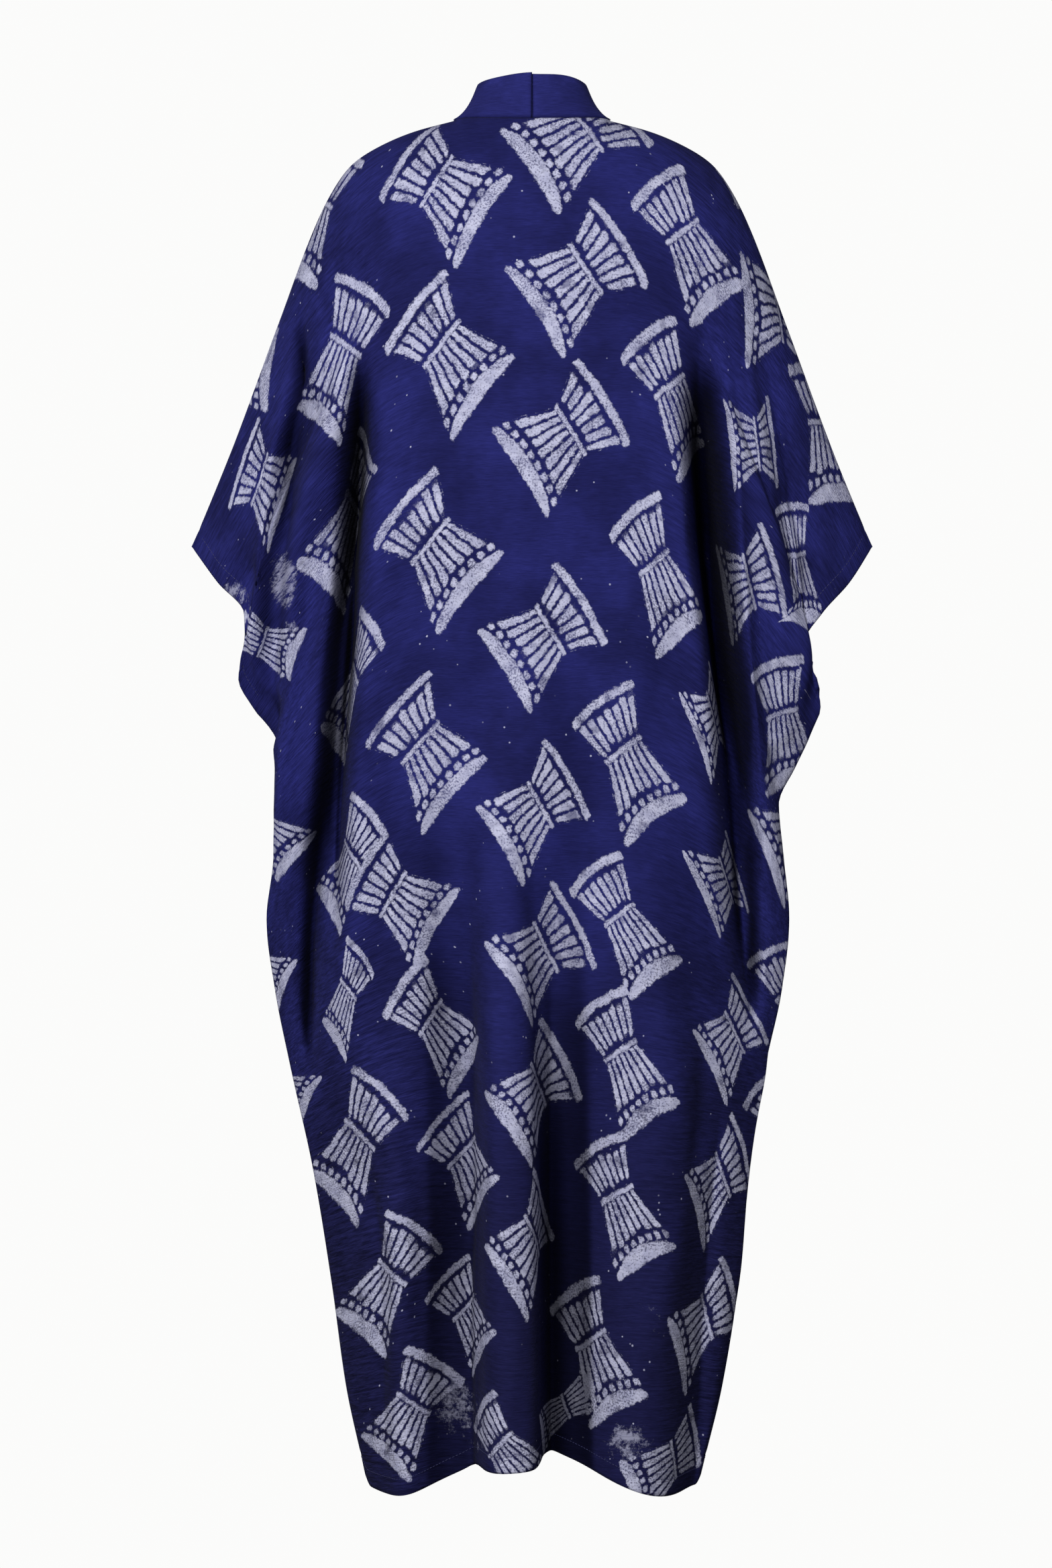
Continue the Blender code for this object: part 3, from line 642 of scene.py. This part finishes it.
class Paint:
    def __init__(self, name):
        self.material = bpy.data.materials.new(name)
        self.material.use_nodes = True
        self.nodes = self.material.node_tree.nodes
        self.links = self.material.node_tree.links
        self.shader = self.nodes["Principled BSDF"]

    def node(self, kind, settings=None, values=None, out=0):
        made = self.nodes.new(kind)
        for word, value in (settings or {}).items():
            setattr(made, word, value)
        for place, value in (values or {}).items():
            self.feed(made.inputs[place], value)
        return Wire(self, made.outputs[out])

    def feed(self, socket, value):
        if isinstance(value, Wire):
            self.links.new(value.socket, socket)
        else:
            socket.default_value = value

    def layer(self, name):    # a named layer of places, as its two numbers
        vector = self.node("ShaderNodeAttribute", {"attribute_name": name}, out="Vector")
        split = self.node("ShaderNodeSeparateXYZ", values={"Vector": vector})
        return split, Wire(self, split.socket.node.outputs["Y"])

    def number(self, name):
        return self.node("ShaderNodeAttribute", {"attribute_name": name}, out="Fac")

    def point(self, x, y, z=0.0):
        return self.node("ShaderNodeCombineXYZ", values={"X": x, "Y": y, "Z": z})

    def noise(self, place, scale, detail=2.0, rough=0.5):
        return self.node("ShaderNodeTexNoise", {"noise_dimensions": "3D"},
                         {"Vector": place, "Scale": scale, "Detail": detail, "Roughness": rough}, out="Fac")

    def blendColours(self, share, first, second):    # a Mix node's colours are its places 6 and 7
        return self.node("ShaderNodeMix", {"data_type": "RGBA"}, {0: share, 6: first, 7: second}, out=2)

    def dim(self, colour, share):    # a colour made darker or lighter
        return self.node("ShaderNodeVectorMath", {"operation": "SCALE"}, {0: colour, "Scale": share})

    def shade(self, values):
        for word, value in values.items():
            self.feed(self.shader.inputs[word], value)
        return self.material


drumShape = {    # along in half lengths, from the rim at -1 to the foot at 1; reaches in half breadths
    "rimAt": -0.95,
    "rimHalfThick": 0.062,
    "rimVaries": 0.02,
    "rimBow": -0.09,
    "rimReach": 0.98,
    "waistAt": -0.20,
    "waistHalf": 0.53,
    "waistHalfThick": 0.040,
    "waistReach": 0.58,
    "waistCorner": 0.03,
    "flareUp": 0.56,
    "flareDown": 0.43,
    "bars": 7,
    "barGap": 0.034,
    "barVaries": 0.085,
    "barDice": (3.17, 57, 0.37),    # spread the random numbers over the bars, the stamps and the two fans
    "barCorner": 0.045,
    "upperBars": (-0.86, -0.255),
    "lowerBars": (-0.145, 0.70),
    "dots": 8,
    "dotsAt": 0.79,
    "dotHalf": (0.058, 0.076),    # along and across
    "dotsReach": 0.99,
    "footAt": 1.00,
    "footHalfThick": 0.135,
    "footTaper": (1.06, 0.94),    # the middle's thickness squared, and how much less it is at the ends
    "footBow": -0.15,
    "footVaries": 0.04,
    "footReach": 1.02,
    "corner": 0.05,
    "bowReach": 1.2,
}


def blunt(first, second, radius):    # both distances inside, with the corner between them rounded
    gap = (radius - first).most(0)
    other = (radius - second).most(0)
    return radius - (gap * gap + other * other).root()


def fan(along, across, halfWidth, ends, dice):    # bars that spread from the waist
    byBar, byStamp, _ = drumShape["barDice"]
    place = (across / halfWidth + 1) * (drumShape["bars"] / 2)
    pitch = halfWidth * (2 / drumShape["bars"])
    random = along.paint.node("ShaderNodeTexWhiteNoise", {"noise_dimensions": "1D"},
                              {"W": place.floor() * byBar + dice * byStamp}, out="Value")
    side = pitch * 0.5 - drumShape["barGap"] - (place.fract() - 0.5).abs() * pitch
    side = side.least(halfWidth - across.abs())
    reach = (along - ends[0]).least(ends[1] - along) - random * drumShape["barVaries"]
    return blunt(side, reach, drumShape["barCorner"])


def stampedDrum(paint, layer, dice, sway):    # how far inside the wax a point lies, in half lengths
    along, across = [place + moved for place, moved in zip(paint.layer(layer), sway)]
    shape = drumShape
    wide = across.abs()
    bow = 1 - (across * across).least(shape["bowReach"])
    bent = along - bow * (dice * shape["footVaries"] + shape["footBow"])
    upperHalf = (shape["waistAt"] - along) * shape["flareUp"] + shape["waistHalf"]
    lowerHalf = (along - shape["waistAt"]) * shape["flareDown"] + shape["waistHalf"]
    upper = fan(along - bow * (shape["rimBow"] * 0.5), across, upperHalf, shape["upperBars"], dice)
    lower = fan(bent, across, lowerHalf, shape["lowerBars"], dice + shape["barDice"][2])
    lower = lower.least(along - shape["lowerBars"][0])
    fromRim = (along - shape["rimAt"] - bow * shape["rimBow"]).abs()
    rim = shape["rimHalfThick"] + dice * shape["rimVaries"] - fromRim
    rim = blunt(rim, shape["rimReach"] - wide, shape["corner"])
    waist = shape["waistHalfThick"] - (along - shape["waistAt"]).abs()
    waist = blunt(waist, shape["waistReach"] - wide, shape["waistCorner"])
    dotAcross = (((across + 1) * (shape["dots"] / 2)).fract() - 0.5) * (2 / shape["dots"])
    halfLong, halfWide = shape["dotHalf"]
    dots = blunt(halfLong - (bent - shape["dotsAt"]).abs(), halfWide - dotAcross.abs(), shape["corner"])
    thick, less = shape["footTaper"]
    taper = (thick - across * across * less).most(0).root()
    foot = shape["footHalfThick"] * taper - (bent - shape["footAt"]).abs()
    foot = blunt(foot, shape["footReach"] - wide, shape["corner"])
    return rim.most(upper).most(waist).most(lower).most(dots.least(shape["dotsReach"] - wide)).most(foot)


printPaint = {
    "indigoDeep": (0.0118, 0.0128, 0.078, 1),
    "indigoBright": (0.0205, 0.0228, 0.148, 1),
    "bandLight": 1.55,    # the neckband is less worn, and brighter
    "indigoFoot": (0.0120, 0.0120, 0.050, 1),    # the cloth is duller and darker towards the hem
    "footFade": (0.65, 1.15, 0.0, 0.80),    # from and to how far below the neck, and by how much
    "wax": (0.452, 0.458, 0.638, 1),
    "waxPale": (0.565, 0.571, 0.749, 1),
    "edge": 0.020,
    "swayTurn": 0.4,
    "grainFade": (0.36, 0.50, 0.30, 1.0),    # threads that show through the wax
    "speckScale": 78,
    "speck": (0.05, 0.095, 0.75, 0.0),
    "rubbedFrom": 0.42,
    "rubbed": (0.0, 0.34, 0.0, 0.62),
    "fineBump": 0.25,
    "bump": {"Strength": 0.75, "Distance": 0.0022},
    "shader": {"Roughness": 0.86, "Specular IOR Level": 0.04, "Sheen Weight": 0.01, "Sheen Roughness": 0.5},
}
clothNoises = {    # how fine across and down the cloth, detail, roughness, levels that it is eased between
    "dye": (9, 9, 3, 0.6, 0.32, 0.70),
    "slub": (42, 360, 4, 0.65, 0.3, 0.7, -0.24, 0.24),
    "broad": (24, 230, 3, 0.65, 0.3, 0.7, -0.15, 0.15),
    "thread": (110, 1000, 2, 0.5, 0.2, 0.8, 0.82, 1.18),
    "worn": (38, 38, 2, 0.5, 0.35, 0.65, -0.04, 0.06),
    "grain": (520, 520, 3, 0.65),
    "cover": (130, 130, 2, 0.5, 0.30, 0.55, 0.80, 1.0),
    "thin": (44, 44, 3, 0.5, 0.30, 0.42, 0.45, 1.0),
    "pale": (70, 70, 2, 0.5, 0.35, 0.65),
    "strays": (11, 11, 2, 0.5, 0.50, 0.56),
    "crinkle": (40, 360, 3, 0.65),
    "fine": (120, 900, 2, 0.5),
}
clothShakes = {    # sums of noises around 0: scale, detail, roughness, size
    "jag": ((240, 2, 0.5, 0.10), (800, 1, 0.5, 0.045)),
    "sway": ((34, 2, 0.5, 0.11),),
    "ragged": ((340, 5, 0.8, 1.3), (75, 2, 0.5, 1.1)),
}


def clothPaint(name, printed):
    paint = Paint(name)
    u, v = paint.layer("weave")
    flat = paint.point(u, v)

    def noise(word):
        across, down, detail, rough, *levels = clothNoises[word]
        if across == down:
            made = paint.noise(flat, across, detail, rough)
        else:
            made = paint.noise(paint.point(u * across, v * down), 1, detail, rough)
        return made.fade(*levels) if levels else made

    def shaken(word, place=flat):
        parts = [(paint.noise(place, *row[:3]) - 0.5) * row[3] for row in clothShakes[word]]
        return sum(parts[1:], parts[0])

    ground = paint.blendColours(noise("dye"), printPaint["indigoDeep"], printPaint["indigoBright"])
    low = paint.number("fall").fade(*printPaint["footFade"])
    ground = paint.blendColours(low, ground, printPaint["indigoFoot"])
    streaks = (noise("slub") + noise("broad")) * paint.number("crinkle") + 1
    ground = paint.dim(ground, streaks * noise("thread"))
    if printed:
        near, after = paint.layer("drumDice")
        sway = [shaken("sway", place) for place in (flat, paint.point(v, u, printPaint["swayTurn"]))]
        inside = stampedDrum(paint, "drumNear", near, sway).most(stampedDrum(paint, "drumNext", after, sway))
        wax = (inside + shaken("jag")).fade(-printPaint["edge"], printPaint["edge"])
        grain = (noise("grain") - noise("worn")).fade(*printPaint["grainFade"])
        specks = paint.node("ShaderNodeTexVoronoi", {"feature": "F1"},
                            {"Vector": flat, "Scale": printPaint["speckScale"]}, out="Distance")
        speck = specks.fade(*printPaint["speck"]) * noise("strays")
        rubbed = paint.number("smear") + shaken("ragged") - printPaint["rubbedFrom"]
        rubbed = rubbed.fade(*printPaint["rubbed"])
        share = (wax * grain * noise("cover") * noise("thin")).most(speck).most(rubbed)
        colour = paint.blendColours(noise("pale"), printPaint["wax"], printPaint["waxPale"])
        colour = paint.blendColours(share, ground, colour)
    else:
        colour = paint.dim(ground, printPaint["bandLight"])
    height = noise("crinkle") * paint.number("crinkle") + noise("fine") * printPaint["fineBump"]
    bump = paint.node("ShaderNodeBump", values={"Height": height, **printPaint["bump"]})
    # painted shade: the colour is darkened by the layer open, in the hollows between folds and in the band's
    # seam and foot
    colour = paint.dim(colour, paint.number("open"))
    return paint.shade({"Base Color": colour, "Normal": bump, **printPaint["shader"]})


hollow = {
    "reach": 0.050,     # how far off a fold can stand and still shade the cloth
    "nearest": 0.003,
    "closed": 62.0,     # degrees by which both sides rise where it is darkest
    "dark": 0.84,
}


def hollowShade(grid):    # painted shade: the cloth's colour is made darker where it lies deep between two folds, as the light hardly gets in
    x, depth = grid[..., 0], np.abs(grid[..., 1])
    steep = np.zeros(x.shape)
    for j in range(x.shape[1]):
        aside = x[None, :, j] - x[:, None, j]
        rise = np.degrees(np.arctan2(depth[None, :, j] - depth[:, None, j], np.abs(aside)))
        rise[(np.abs(aside) > hollow["reach"]) | (np.abs(aside) < hollow["nearest"])] = 0
        sides = np.where(aside > 0, rise, 0).max(axis=1), np.where(aside < 0, rise, 0).max(axis=1)
        steep[:, j] = np.minimum(*sides)
    for axis in (0, 1, 0, 1):
        steep = (np.roll(steep, 1, axis) + 2 * steep + np.roll(steep, -1, axis)) / 4
    return 1 - hollow["dark"] * smooth(steep / hollow["closed"])


smears = {    # where the wax was wiped over the cloth: across, height, half width, half height, strength
    "left foot": (0.072, -1.222, 0.024, 0.030, 0.55),
    "left hem": (0.050, -1.250, 0.022, 0.022, 0.30),
    "right foot": (-0.091, -1.256, 0.026, 0.021, 0.60),
    "right specks": (-0.114, -1.140, 0.018, 0.028, 0.24),
    "right sleeve tip": (-0.290, -0.425, 0.022, 0.012, 0.20),
    "crumpled stamp": (0.234, -0.444, 0.017, 0.030, 0.62),
    "crumpled foot": (0.226, -0.500, 0.012, 0.024, 0.46),
    "left sleeve tip": (0.281, -0.458, 0.018, 0.014, 0.55),
}
smearFull = 0.4    # share of its half sizes over which a smear has its whole strength


def smearStrength(grid):
    across, height = seenPlaces(grid, -1)
    smear = np.zeros_like(across)
    for x, z, wide, tall, strength in smears.values():
        off = np.hypot((across - x) / wide, (height - z) / tall) - smearFull
        smear = np.maximum(smear, strength * (1 - smooth(off)))
    return smear * (grid[..., 1] > 0)


crinkle = {    # how much more crinkled the cloth is, from where, and over what length
    "least": 0.35,
    "sides": (0.75, 0.08, 0.12),
    "low": (1, 0.70, 0.30),
    "foot": 0.20,
    "footLeft": (0.55, 0.02, 0.07),
}


def crinkleStrength(grid):    # smoother over the upper back, more crinkled at the sides and the foot
    def more(word, value):
        most, start, over = crinkle[word]
        return most * smooth((value - start) / over)

    x, low = grid[..., 0], more("low", -grid[..., 2])
    return crinkle["least"] + more("sides", np.abs(x)) + low * (crinkle["foot"] + more("footLeft", x))


def sewnGrid(grid, share, down, openEdges):    # turns sewn edges in and presses a groove over the hems
    across, fall = clothPlaces(grid, share)
    n = normals(grid)
    mouth = smooth((form["mouthLength"] - down) / cloth["mouthBlend"])

    def hemmed(away):    # the groove of a hem's stitches, and the hem
        off = (away - cloth["hemWidth"]) / cloth["hemBlend"]
        return hill(off, 1), 1 - smooth(off)

    groove, hem = hemmed(fall[:, -1:] - fall)
    press = groove * cloth["hemPress"]
    for edge in openEdges:
        away = np.abs(across - across[edge])
        groove, turned = hemmed(away)
        hem = np.maximum(hem, mouth * turned)
        sewn = (1 - mouth) * hill(away, cloth["seamPinchWidth"])
        press = press + mouth * groove * cloth["hemPress"] + sewn * cloth["seamPinch"]
    fromNeck = smooth((np.abs(share) - neckShare) / cloth["seamFromNeck"])    # the collar hides the neck edge
    press = press + fromNeck * hill(fall, cloth["seamPinchWidth"]) * cloth["seamPinch"]
    outer = grid - n * press[..., None]
    layers = 1 + (cloth["hemLayers"] - 1) * hem
    return outer, outer - n * (cloth["thickness"] * layers)[..., None]


stitch = {
    "pitch": 0.0036,
    "length": 0.0024,
    "radius": 0.00028,
    "lift": 0.5,             # how far it stands out of the cloth, in radii
    "sides": 6,
    "rings": ((-1, 0.4), (-0.8, 1), (0.8, 1), (1, 0.4)),    # place along the stitch, and share of its radius
    "fromFold": 0.0020,
    "mouthEnds": (0.006, 0.004),    # how far below and above the ends of a hand opening they stop
}


def pointAt(place, run, line):
    return np.array([np.interp(place, run, line[:, k]) for k in range(3)])


def alongEdge(grid, away, distance):    # points at one distance from the edge that `away` is measured from
    points = []
    for line, far in zip(grid, away):
        order = np.argsort(far)
        points.append(pointAt(distance, far[order], line[order]))
    return np.array(points)


def makeStitches(name, lines):    # small round-ended stitches along lines of points, each with its normals
    verts, faces = [], []
    sides, half = stitch["sides"], stitch["length"] / 2
    ring = np.array([(math.cos(a), math.sin(a)) for a in np.linspace(0, 2 * np.pi, sides + 1)[:-1]])
    for line, lift in lines:
        run = lengths(line)
        for middle in np.arange(stitch["pitch"] / 2, run[-1] - stitch["pitch"] / 2, stitch["pitch"]):
            start, end = [pointAt(middle + way * half, run, line) for way in (-1, 1)]
            up = pointAt(middle, run, lift)
            along = (end - start) / np.linalg.norm(end - start)
            side = np.cross(up, along)
            side /= np.linalg.norm(side)
            spot = len(verts) + np.arange(len(stitch["rings"]) * sides).reshape(-1, sides)
            for way, share in stitch["rings"]:
                centre = (start + end) / 2 + along * way * half + up * stitch["radius"] * stitch["lift"]
                verts += [tuple(centre + (side * c + up * d) * (stitch["radius"] * share)) for c, d in ring]
            faces += quads(spot, turned=True, closed=True).tolist()
            faces += [spot[0, ::-1].tolist(), spot[-1].tolist()]
    declare(makePiece(name, verts, faces, hemThread, {}, {}))
    print(name, len(verts) // spot.size, "stitches")


def hemStitches(name, outer, share, down, openEdges):    # along the foot, and along each hand opening's edge
    across, fall = clothPlaces(outer, share)
    n = normals(outer)
    wide = cloth["hemWidth"] - stitch["fromFold"]
    away = fall[:, -1:] - fall
    lines = [(alongEdge(outer, away, wide), alongEdge(n, away, wide))]
    top, foot = stitch["mouthEnds"]
    mouth = (down[0] > top) & (down[0] < form["mouthLength"] - foot)
    for edge in openEdges:
        away = np.abs(across - across[edge]).T[mouth]
        lines.append([alongEdge(grid.transpose(1, 0, 2)[mouth], away, wide) for grid in (outer, n)])
    makeStitches(name, lines)


def makePanel(node, surface, shares, columns, creases, side, outsideRight, rows, openEdges):
    grid, share, down = panelGrid(surface, *shares, columns)
    if side == outsideRight:    # so that every panel's faces look outwards
        grid, share, down = grid[::-1], share[::-1], down[::-1]
    column = np.arange(len(grid))
    calm = smooth(np.minimum(column, column[::-1]) / cloth["calmColumns"])[:, None]
    calm = calm * smooth(down / cloth["calmTop"])
    outer, inner = sewnGrid(withCreases(grid, creases, side, calm), share, down, openEdges)
    random = np.random.default_rng(drum["seeds"][node])
    stamps, dice = stampedPlaces(outer, outsideRight, rows, node == "back", random)
    place, *word = node.split("_")
    name = "_".join([place, "panel", *word])
    # the layer open holds painted shade, darker in the hollows between folds
    panel = makeWall(name, outer, inner, printedCotton, printCorners(weavePlaces(outer, share), stamps, dice),
                     {"crinkle": crinkleStrength(outer), "smear": smearStrength(outer),
                      "open": hollowShade(outer), "fall": -outer[..., 2]})
    declare(panel, node)
    print(name, len(panel.data.polygons), "faces,", len(stamps) - 1, "drums")
    hemStitches("stitches_" + node, outer, share, down, openEdges)


def frontRows(side):
    rows = []
    random = np.random.default_rng(frontDrums["seed"] + side)
    hem = form["hemCentre"] * 1000
    for top, foot, first, turn in frontDrums["columns"]:
        for height in np.arange(first, hem, -frontDrums["spacing"]):
            turned = (turn if side > 0 else 180 - turn) + random.uniform(-1, 1) * frontDrums["turnJitter"]
            rows.append((side * (top + (foot - top) * height / hem), height, turned, 0,
                         frontDrums["half"], frontDrums["half"]))
    return table(stampColumns, *rows)


thread = {
    "deep": (0.020, 0.022, 0.085, 1),
    "bright": (0.055, 0.058, 0.160, 1),
    "twist": 900,
    "twistFade": (0.3, 0.7),
    "roughness": 0.6,
}


def threadPaint():
    paint = Paint("hem thread")
    twist = paint.noise(paint.node("ShaderNodeTexCoord", out="Object"), thread["twist"], 2)
    twist = twist.fade(*thread["twistFade"])
    colour = paint.blendColours(twist, thread["deep"], thread["bright"])
    return paint.shade({"Base Color": colour, "Roughness": thread["roughness"]})


printedCotton = clothPaint("printed cotton", True)
plainCotton = clothPaint("plain cotton", False)
hemThread = threadPaint()

makePanel("back", backSurface, (-1, 1), cloth["backColumns"], backCreases, 1, -1, backDrums, (0, -1))
for side, word, openEdge in ((1, "left", 0), (-1, "right", -1)):
    makePanel("front_" + word, frontSurface(side), (0, 1), cloth["frontColumns"], frontCreases, side, 1,
              frontRows(side), (openEdge,))


# The neckband: a flat tube of folded cloth that stands as the collar and runs down the front edges.

band = {
    "collarStations": 60,
    "frontStations": 220,
    "stationCrowding": 1.3,
    "thickness": 0.0026,
    "faceSteps": 12,
    "foldSteps": 5,
    "crown": 0.0007,
    "sewnOver": 0.0016,    # how far its foot comes down over the neck edge
    "seamHalf": 0.0022,    # half width of the groove at the centre-back seam
    "seamDeep": 0.0014,
    "seamShade": 0.72,     # painted shade: the crack of the seam, and the fold along the foot, are darkened in colour
    "seamShadeHalf": 0.0012,
    "footShade": 0.45,
    "backRise": 0.055,     # how much taller the collar stands at the centre back, as a share
    "backSpread": 0.090,
    "cornerDrop": 0.11,    # and how much lower where it turns forward
    "cornerSpread": 0.028,
    "hollow": 0.0045,      # depth of the hollow in its sides
    "hollowSpread": 0.045,
    "hollowPower": 0.8,    # below 1 the hollow lies nearer to the foot
    "edgeWave": (0.0011, 55, 0.8),    # unevenness of its edge and of its face: height, waves and start
    "faceWave": (0.0006, 41, 1, 13),
    "footShadeTo": 0.01,
    "collarPower": 6,      # how suddenly the collar ends where it turns down, and the wave of its edge
    "edgePower": 4,
    "crinkle": 0.35,
}


def bandRing():    # around the folded band: share of its width, and depth behind its outer face
    thick, share = band["thickness"], np.linspace(0, 1, band["faceSteps"] + 1)
    tip = thick / 2 / form["bandWidth"]
    bend = np.linspace(0, np.pi, band["foldSteps"] + 2)[1:-1]
    ring = [(q, 0.0) for q in share[:-1]] + [(1 - tip, 0.0)]
    ring += [(1 - tip * (1 - math.sin(b)), thick / 2 * (1 - math.cos(b))) for b in bend]
    return np.array(ring + [(q, thick) for q in share[::-1][1:]])


def bandPath(side):    # the foot of the band from the centre back to the hem, and the width that stands on it
    turn = np.linspace(0, np.pi / 2, band["collarStations"] + 1)[:-1]
    gap = form["seamGap"]
    foot = np.stack([form["neckHalfWidth"] * np.sin(turn), form["neckBackDepth"] * np.cos(turn),
                     form["neckRise"] * np.sin(turn) ** 2 + gap], axis=-1)
    back, rise = form["collarBackRise"], form["collarSideRise"]
    lean = math.sqrt(form["bandWidth"] ** 2 - rise ** 2)
    upright = np.stack([-lean * np.sin(turn), -form["collarLean"] * np.cos(turn),
                        back + (rise - back) * np.sin(turn)], axis=-1)
    down = np.linspace(0, 1, band["frontStations"] + 1) ** band["stationCrowding"]
    edge = frontSurface(side)(*np.meshgrid([0.0], down, indexing="ij"))[0] * (side, 1, 1)
    flat = smooth(down / form["bandFlatAt"])[:, None]
    aim = (1 - flat) * (-lean, 0, rise) + flat * (-form["bandWidth"], -form["bandForward"], 0)
    aim = aim * form["bandWidth"] / np.linalg.norm(aim, axis=-1, keepdims=True)
    return np.concatenate([foot, edge - (gap, gap / 2, 0)]), np.concatenate([upright, aim])


def makeBand(name, node, side):
    foot, upright = bandPath(side)
    ring = bandRing()
    run = lengths(foot)
    turning = run[band["collarStations"]]
    collar = hill(run, turning, band["collarPower"])    # 1 behind the neck and 0 down the front
    tall = 1 + band["backRise"] * hill(run, band["backSpread"])
    tall = tall - band["cornerDrop"] * hill(run - turning, band["cornerSpread"])
    upright = upright * tall[:, None]
    out = np.cross(np.gradient(foot, axis=0), upright)
    out = (out / np.linalg.norm(out, axis=-1, keepdims=True))[:, None]
    width, behind = ring.T
    middle, within = band["thickness"] / 2, np.clip(width, 0, 1)
    arch = np.sin(np.pi * within)
    grid = (foot[:, None] + upright[:, None] * ring[None, :, :1]
            + out * (band["crown"] * arch * (behind < middle) - behind)[None, :, None])
    high, waves, start = band["edgeWave"]
    edgeWave = high * np.sin(run * waves + start * side) * hill(run, turning, band["edgePower"])
    grid[..., 2] += edgeWave[:, None] * width - (collar * band["sewnOver"])[:, None] * (1 - width)
    atSide = hill(run - turning, band["hollowSpread"])[:, None]
    grid = grid + out * (band["hollow"] * atSide * np.sin(np.pi * within ** band["hollowPower"]))[..., None]
    groove = hill(run, band["seamHalf"])[:, None] * band["seamDeep"]
    aside = behind - middle
    grid = grid + out * (groove * np.sign(aside) * (np.abs(aside) > middle / 2))[..., None]
    high, waves, start, slow = band["faceWave"]
    wave = high * np.sin(run * waves + start) * np.sin(run * slow)
    grid = grid + out * (wave[:, None] * arch[None])[..., None]
    grid[0, :, 0] = 0
    grid = grid * (side, 1, 1)
    spot = np.arange(grid[..., 0].size).reshape(grid.shape[:2])
    faces = quads(spot, closed=True)[:, ::side].tolist()
    faces += [spot[0, ::side].tolist(), spot[-1, ::-side].tolist()]
    places = np.stack(np.broadcast_arrays(run[:, None], width * form["bandWidth"]), axis=-1).reshape(-1, 2)
    # painted shade in the crack of the centre-back seam and along the fold at the collar's foot
    seam = (1 - band["seamShade"] * hill(run, band["seamShadeHalf"]))[:, None]
    paintedBandShade = seam * (1 - band["footShade"] * collar[:, None] * (width < band["footShadeTo"]))
    piece = makePiece(name, grid.reshape(-1, 3).tolist(), faces, plainCotton,
                      {"weave": places[np.concatenate(faces)]},
                      {"crinkle": np.full(spot.size, band["crinkle"]), "fall": -grid[..., 2], "open": paintedBandShade})
    declare(piece, node)
    print(name, len(faces), "faces,", round(run[-1], 3), "m long")


for side, word in ((1, "left"), (-1, "right")):
    makeBand("band_" + word, "neckband_" + word, side)


# Camera, light and a plain pale stage.

eye = bpy.data.cameras.new("camera")
eye.sensor_width = camera["sensor"]
eye.lens = camera["focal"] / camera["pictureHeight"] * camera["sensor"]
eye.dof.use_dof = False
viewer = bpy.data.objects.new("camera", eye)
viewer.location = (camera["across"], camera["distance"], camera["height"])
viewer.rotation_euler = (math.pi / 2, 0, math.pi)
bpy.context.scene.collection.objects.link(viewer)
bpy.context.scene.camera = viewer

studio = {
    "white": (0.966, 0.966, 0.960, 1),
    "floorHeight": -1.44,
    "middle": 0.01,   # radius of the disc at the floor's middle
    "reach": 14.0,    # half the width of the floor; the backdrop stands around its edge
    "sweep": 4.0,     # radius of the bend between the floor and the backdrop
    "bends": 12,
    "sides": 72,
    "world": 0.05,
    "lamps": {    # place, aim, side in metres, watts; the first two light the back, the next two the front
        "key": ((0.75, 3.0, 0.25), (0.05, 0, -0.40), 1.0, 90),
        "fill": ((-1.5, 2.8, 0.0), (0, 0, -0.5), 1.4, 7),
        "front key": ((-0.45, -3.0, 0.25), (0, 0, -0.40), 1.0, 80),
        "front fill": ((1.5, -2.8, 0.0), (0, 0, -0.5), 1.4, 9),
        "top": ((0, 0.2, 2.6), (0, 0, 0), 2.4, 5),
        "left side": ((3.2, 0, 0), (0, 0, -0.6), 2.0, 20),
        "right side": ((-3.2, 0, 0), (0, 0, -0.6), 2.0, 7),
    },
}


def makeStage():    # one pale surface: a round floor that bends up into a backdrop on every side
    reach, sweep = studio["reach"], studio["sweep"]
    bend = np.linspace(0, np.pi / 2, studio["bends"] + 1)[1:]
    out = np.concatenate([[studio["middle"], reach - sweep], reach - sweep + sweep * np.sin(bend), [reach]])
    up = np.concatenate([[0, 0], sweep * (1 - np.cos(bend)), [reach]]) + studio["floorHeight"]
    turn = np.linspace(0, 2 * np.pi, studio["sides"] + 1)[:-1, None]
    grid = np.stack(np.broadcast_arrays(out * np.cos(turn), out * np.sin(turn), up), axis=-1)
    spot = np.arange(grid[..., 0].size).reshape(grid.shape[:2])
    faces = quads(np.concatenate([spot, spot[:1]]), turned=True).tolist() + [spot[::-1, 0].tolist()]
    pale = Paint("pale floor").shade({"Base Color": (0, 0, 0, 1), "Specular IOR Level": 0,
                                      "Emission Color": studio["white"], "Emission Strength": 1})
    floor = makePiece("studio_floor", grid.reshape(-1, 3).tolist(), faces, pale, {}, {})
    floor.visible_diffuse = floor.visible_glossy = floor.visible_shadow = False


def makeLight():
    world = bpy.data.worlds.new("pale studio")
    world.use_nodes = True
    sky = world.node_tree.nodes["Background"]
    sky.inputs["Color"].default_value = studio["white"]
    sky.inputs["Strength"].default_value = studio["world"]
    bpy.context.scene.world = world
    for name, (place, aim, side, watts) in studio["lamps"].items():
        light = bpy.data.lights.new(name, "AREA")
        light.size, light.energy = side, watts
        lamp = bpy.data.objects.new(name, light)
        lamp.visible_camera = False
        lamp.location = place
        lamp.rotation_euler = (Vector(aim) - Vector(place)).to_track_quat("-Z", "Y").to_euler()
        bpy.context.scene.collection.objects.link(lamp)


makeStage()
makeLight()
bpy.context.scene.view_settings.view_transform = "Standard"
print("stage set")
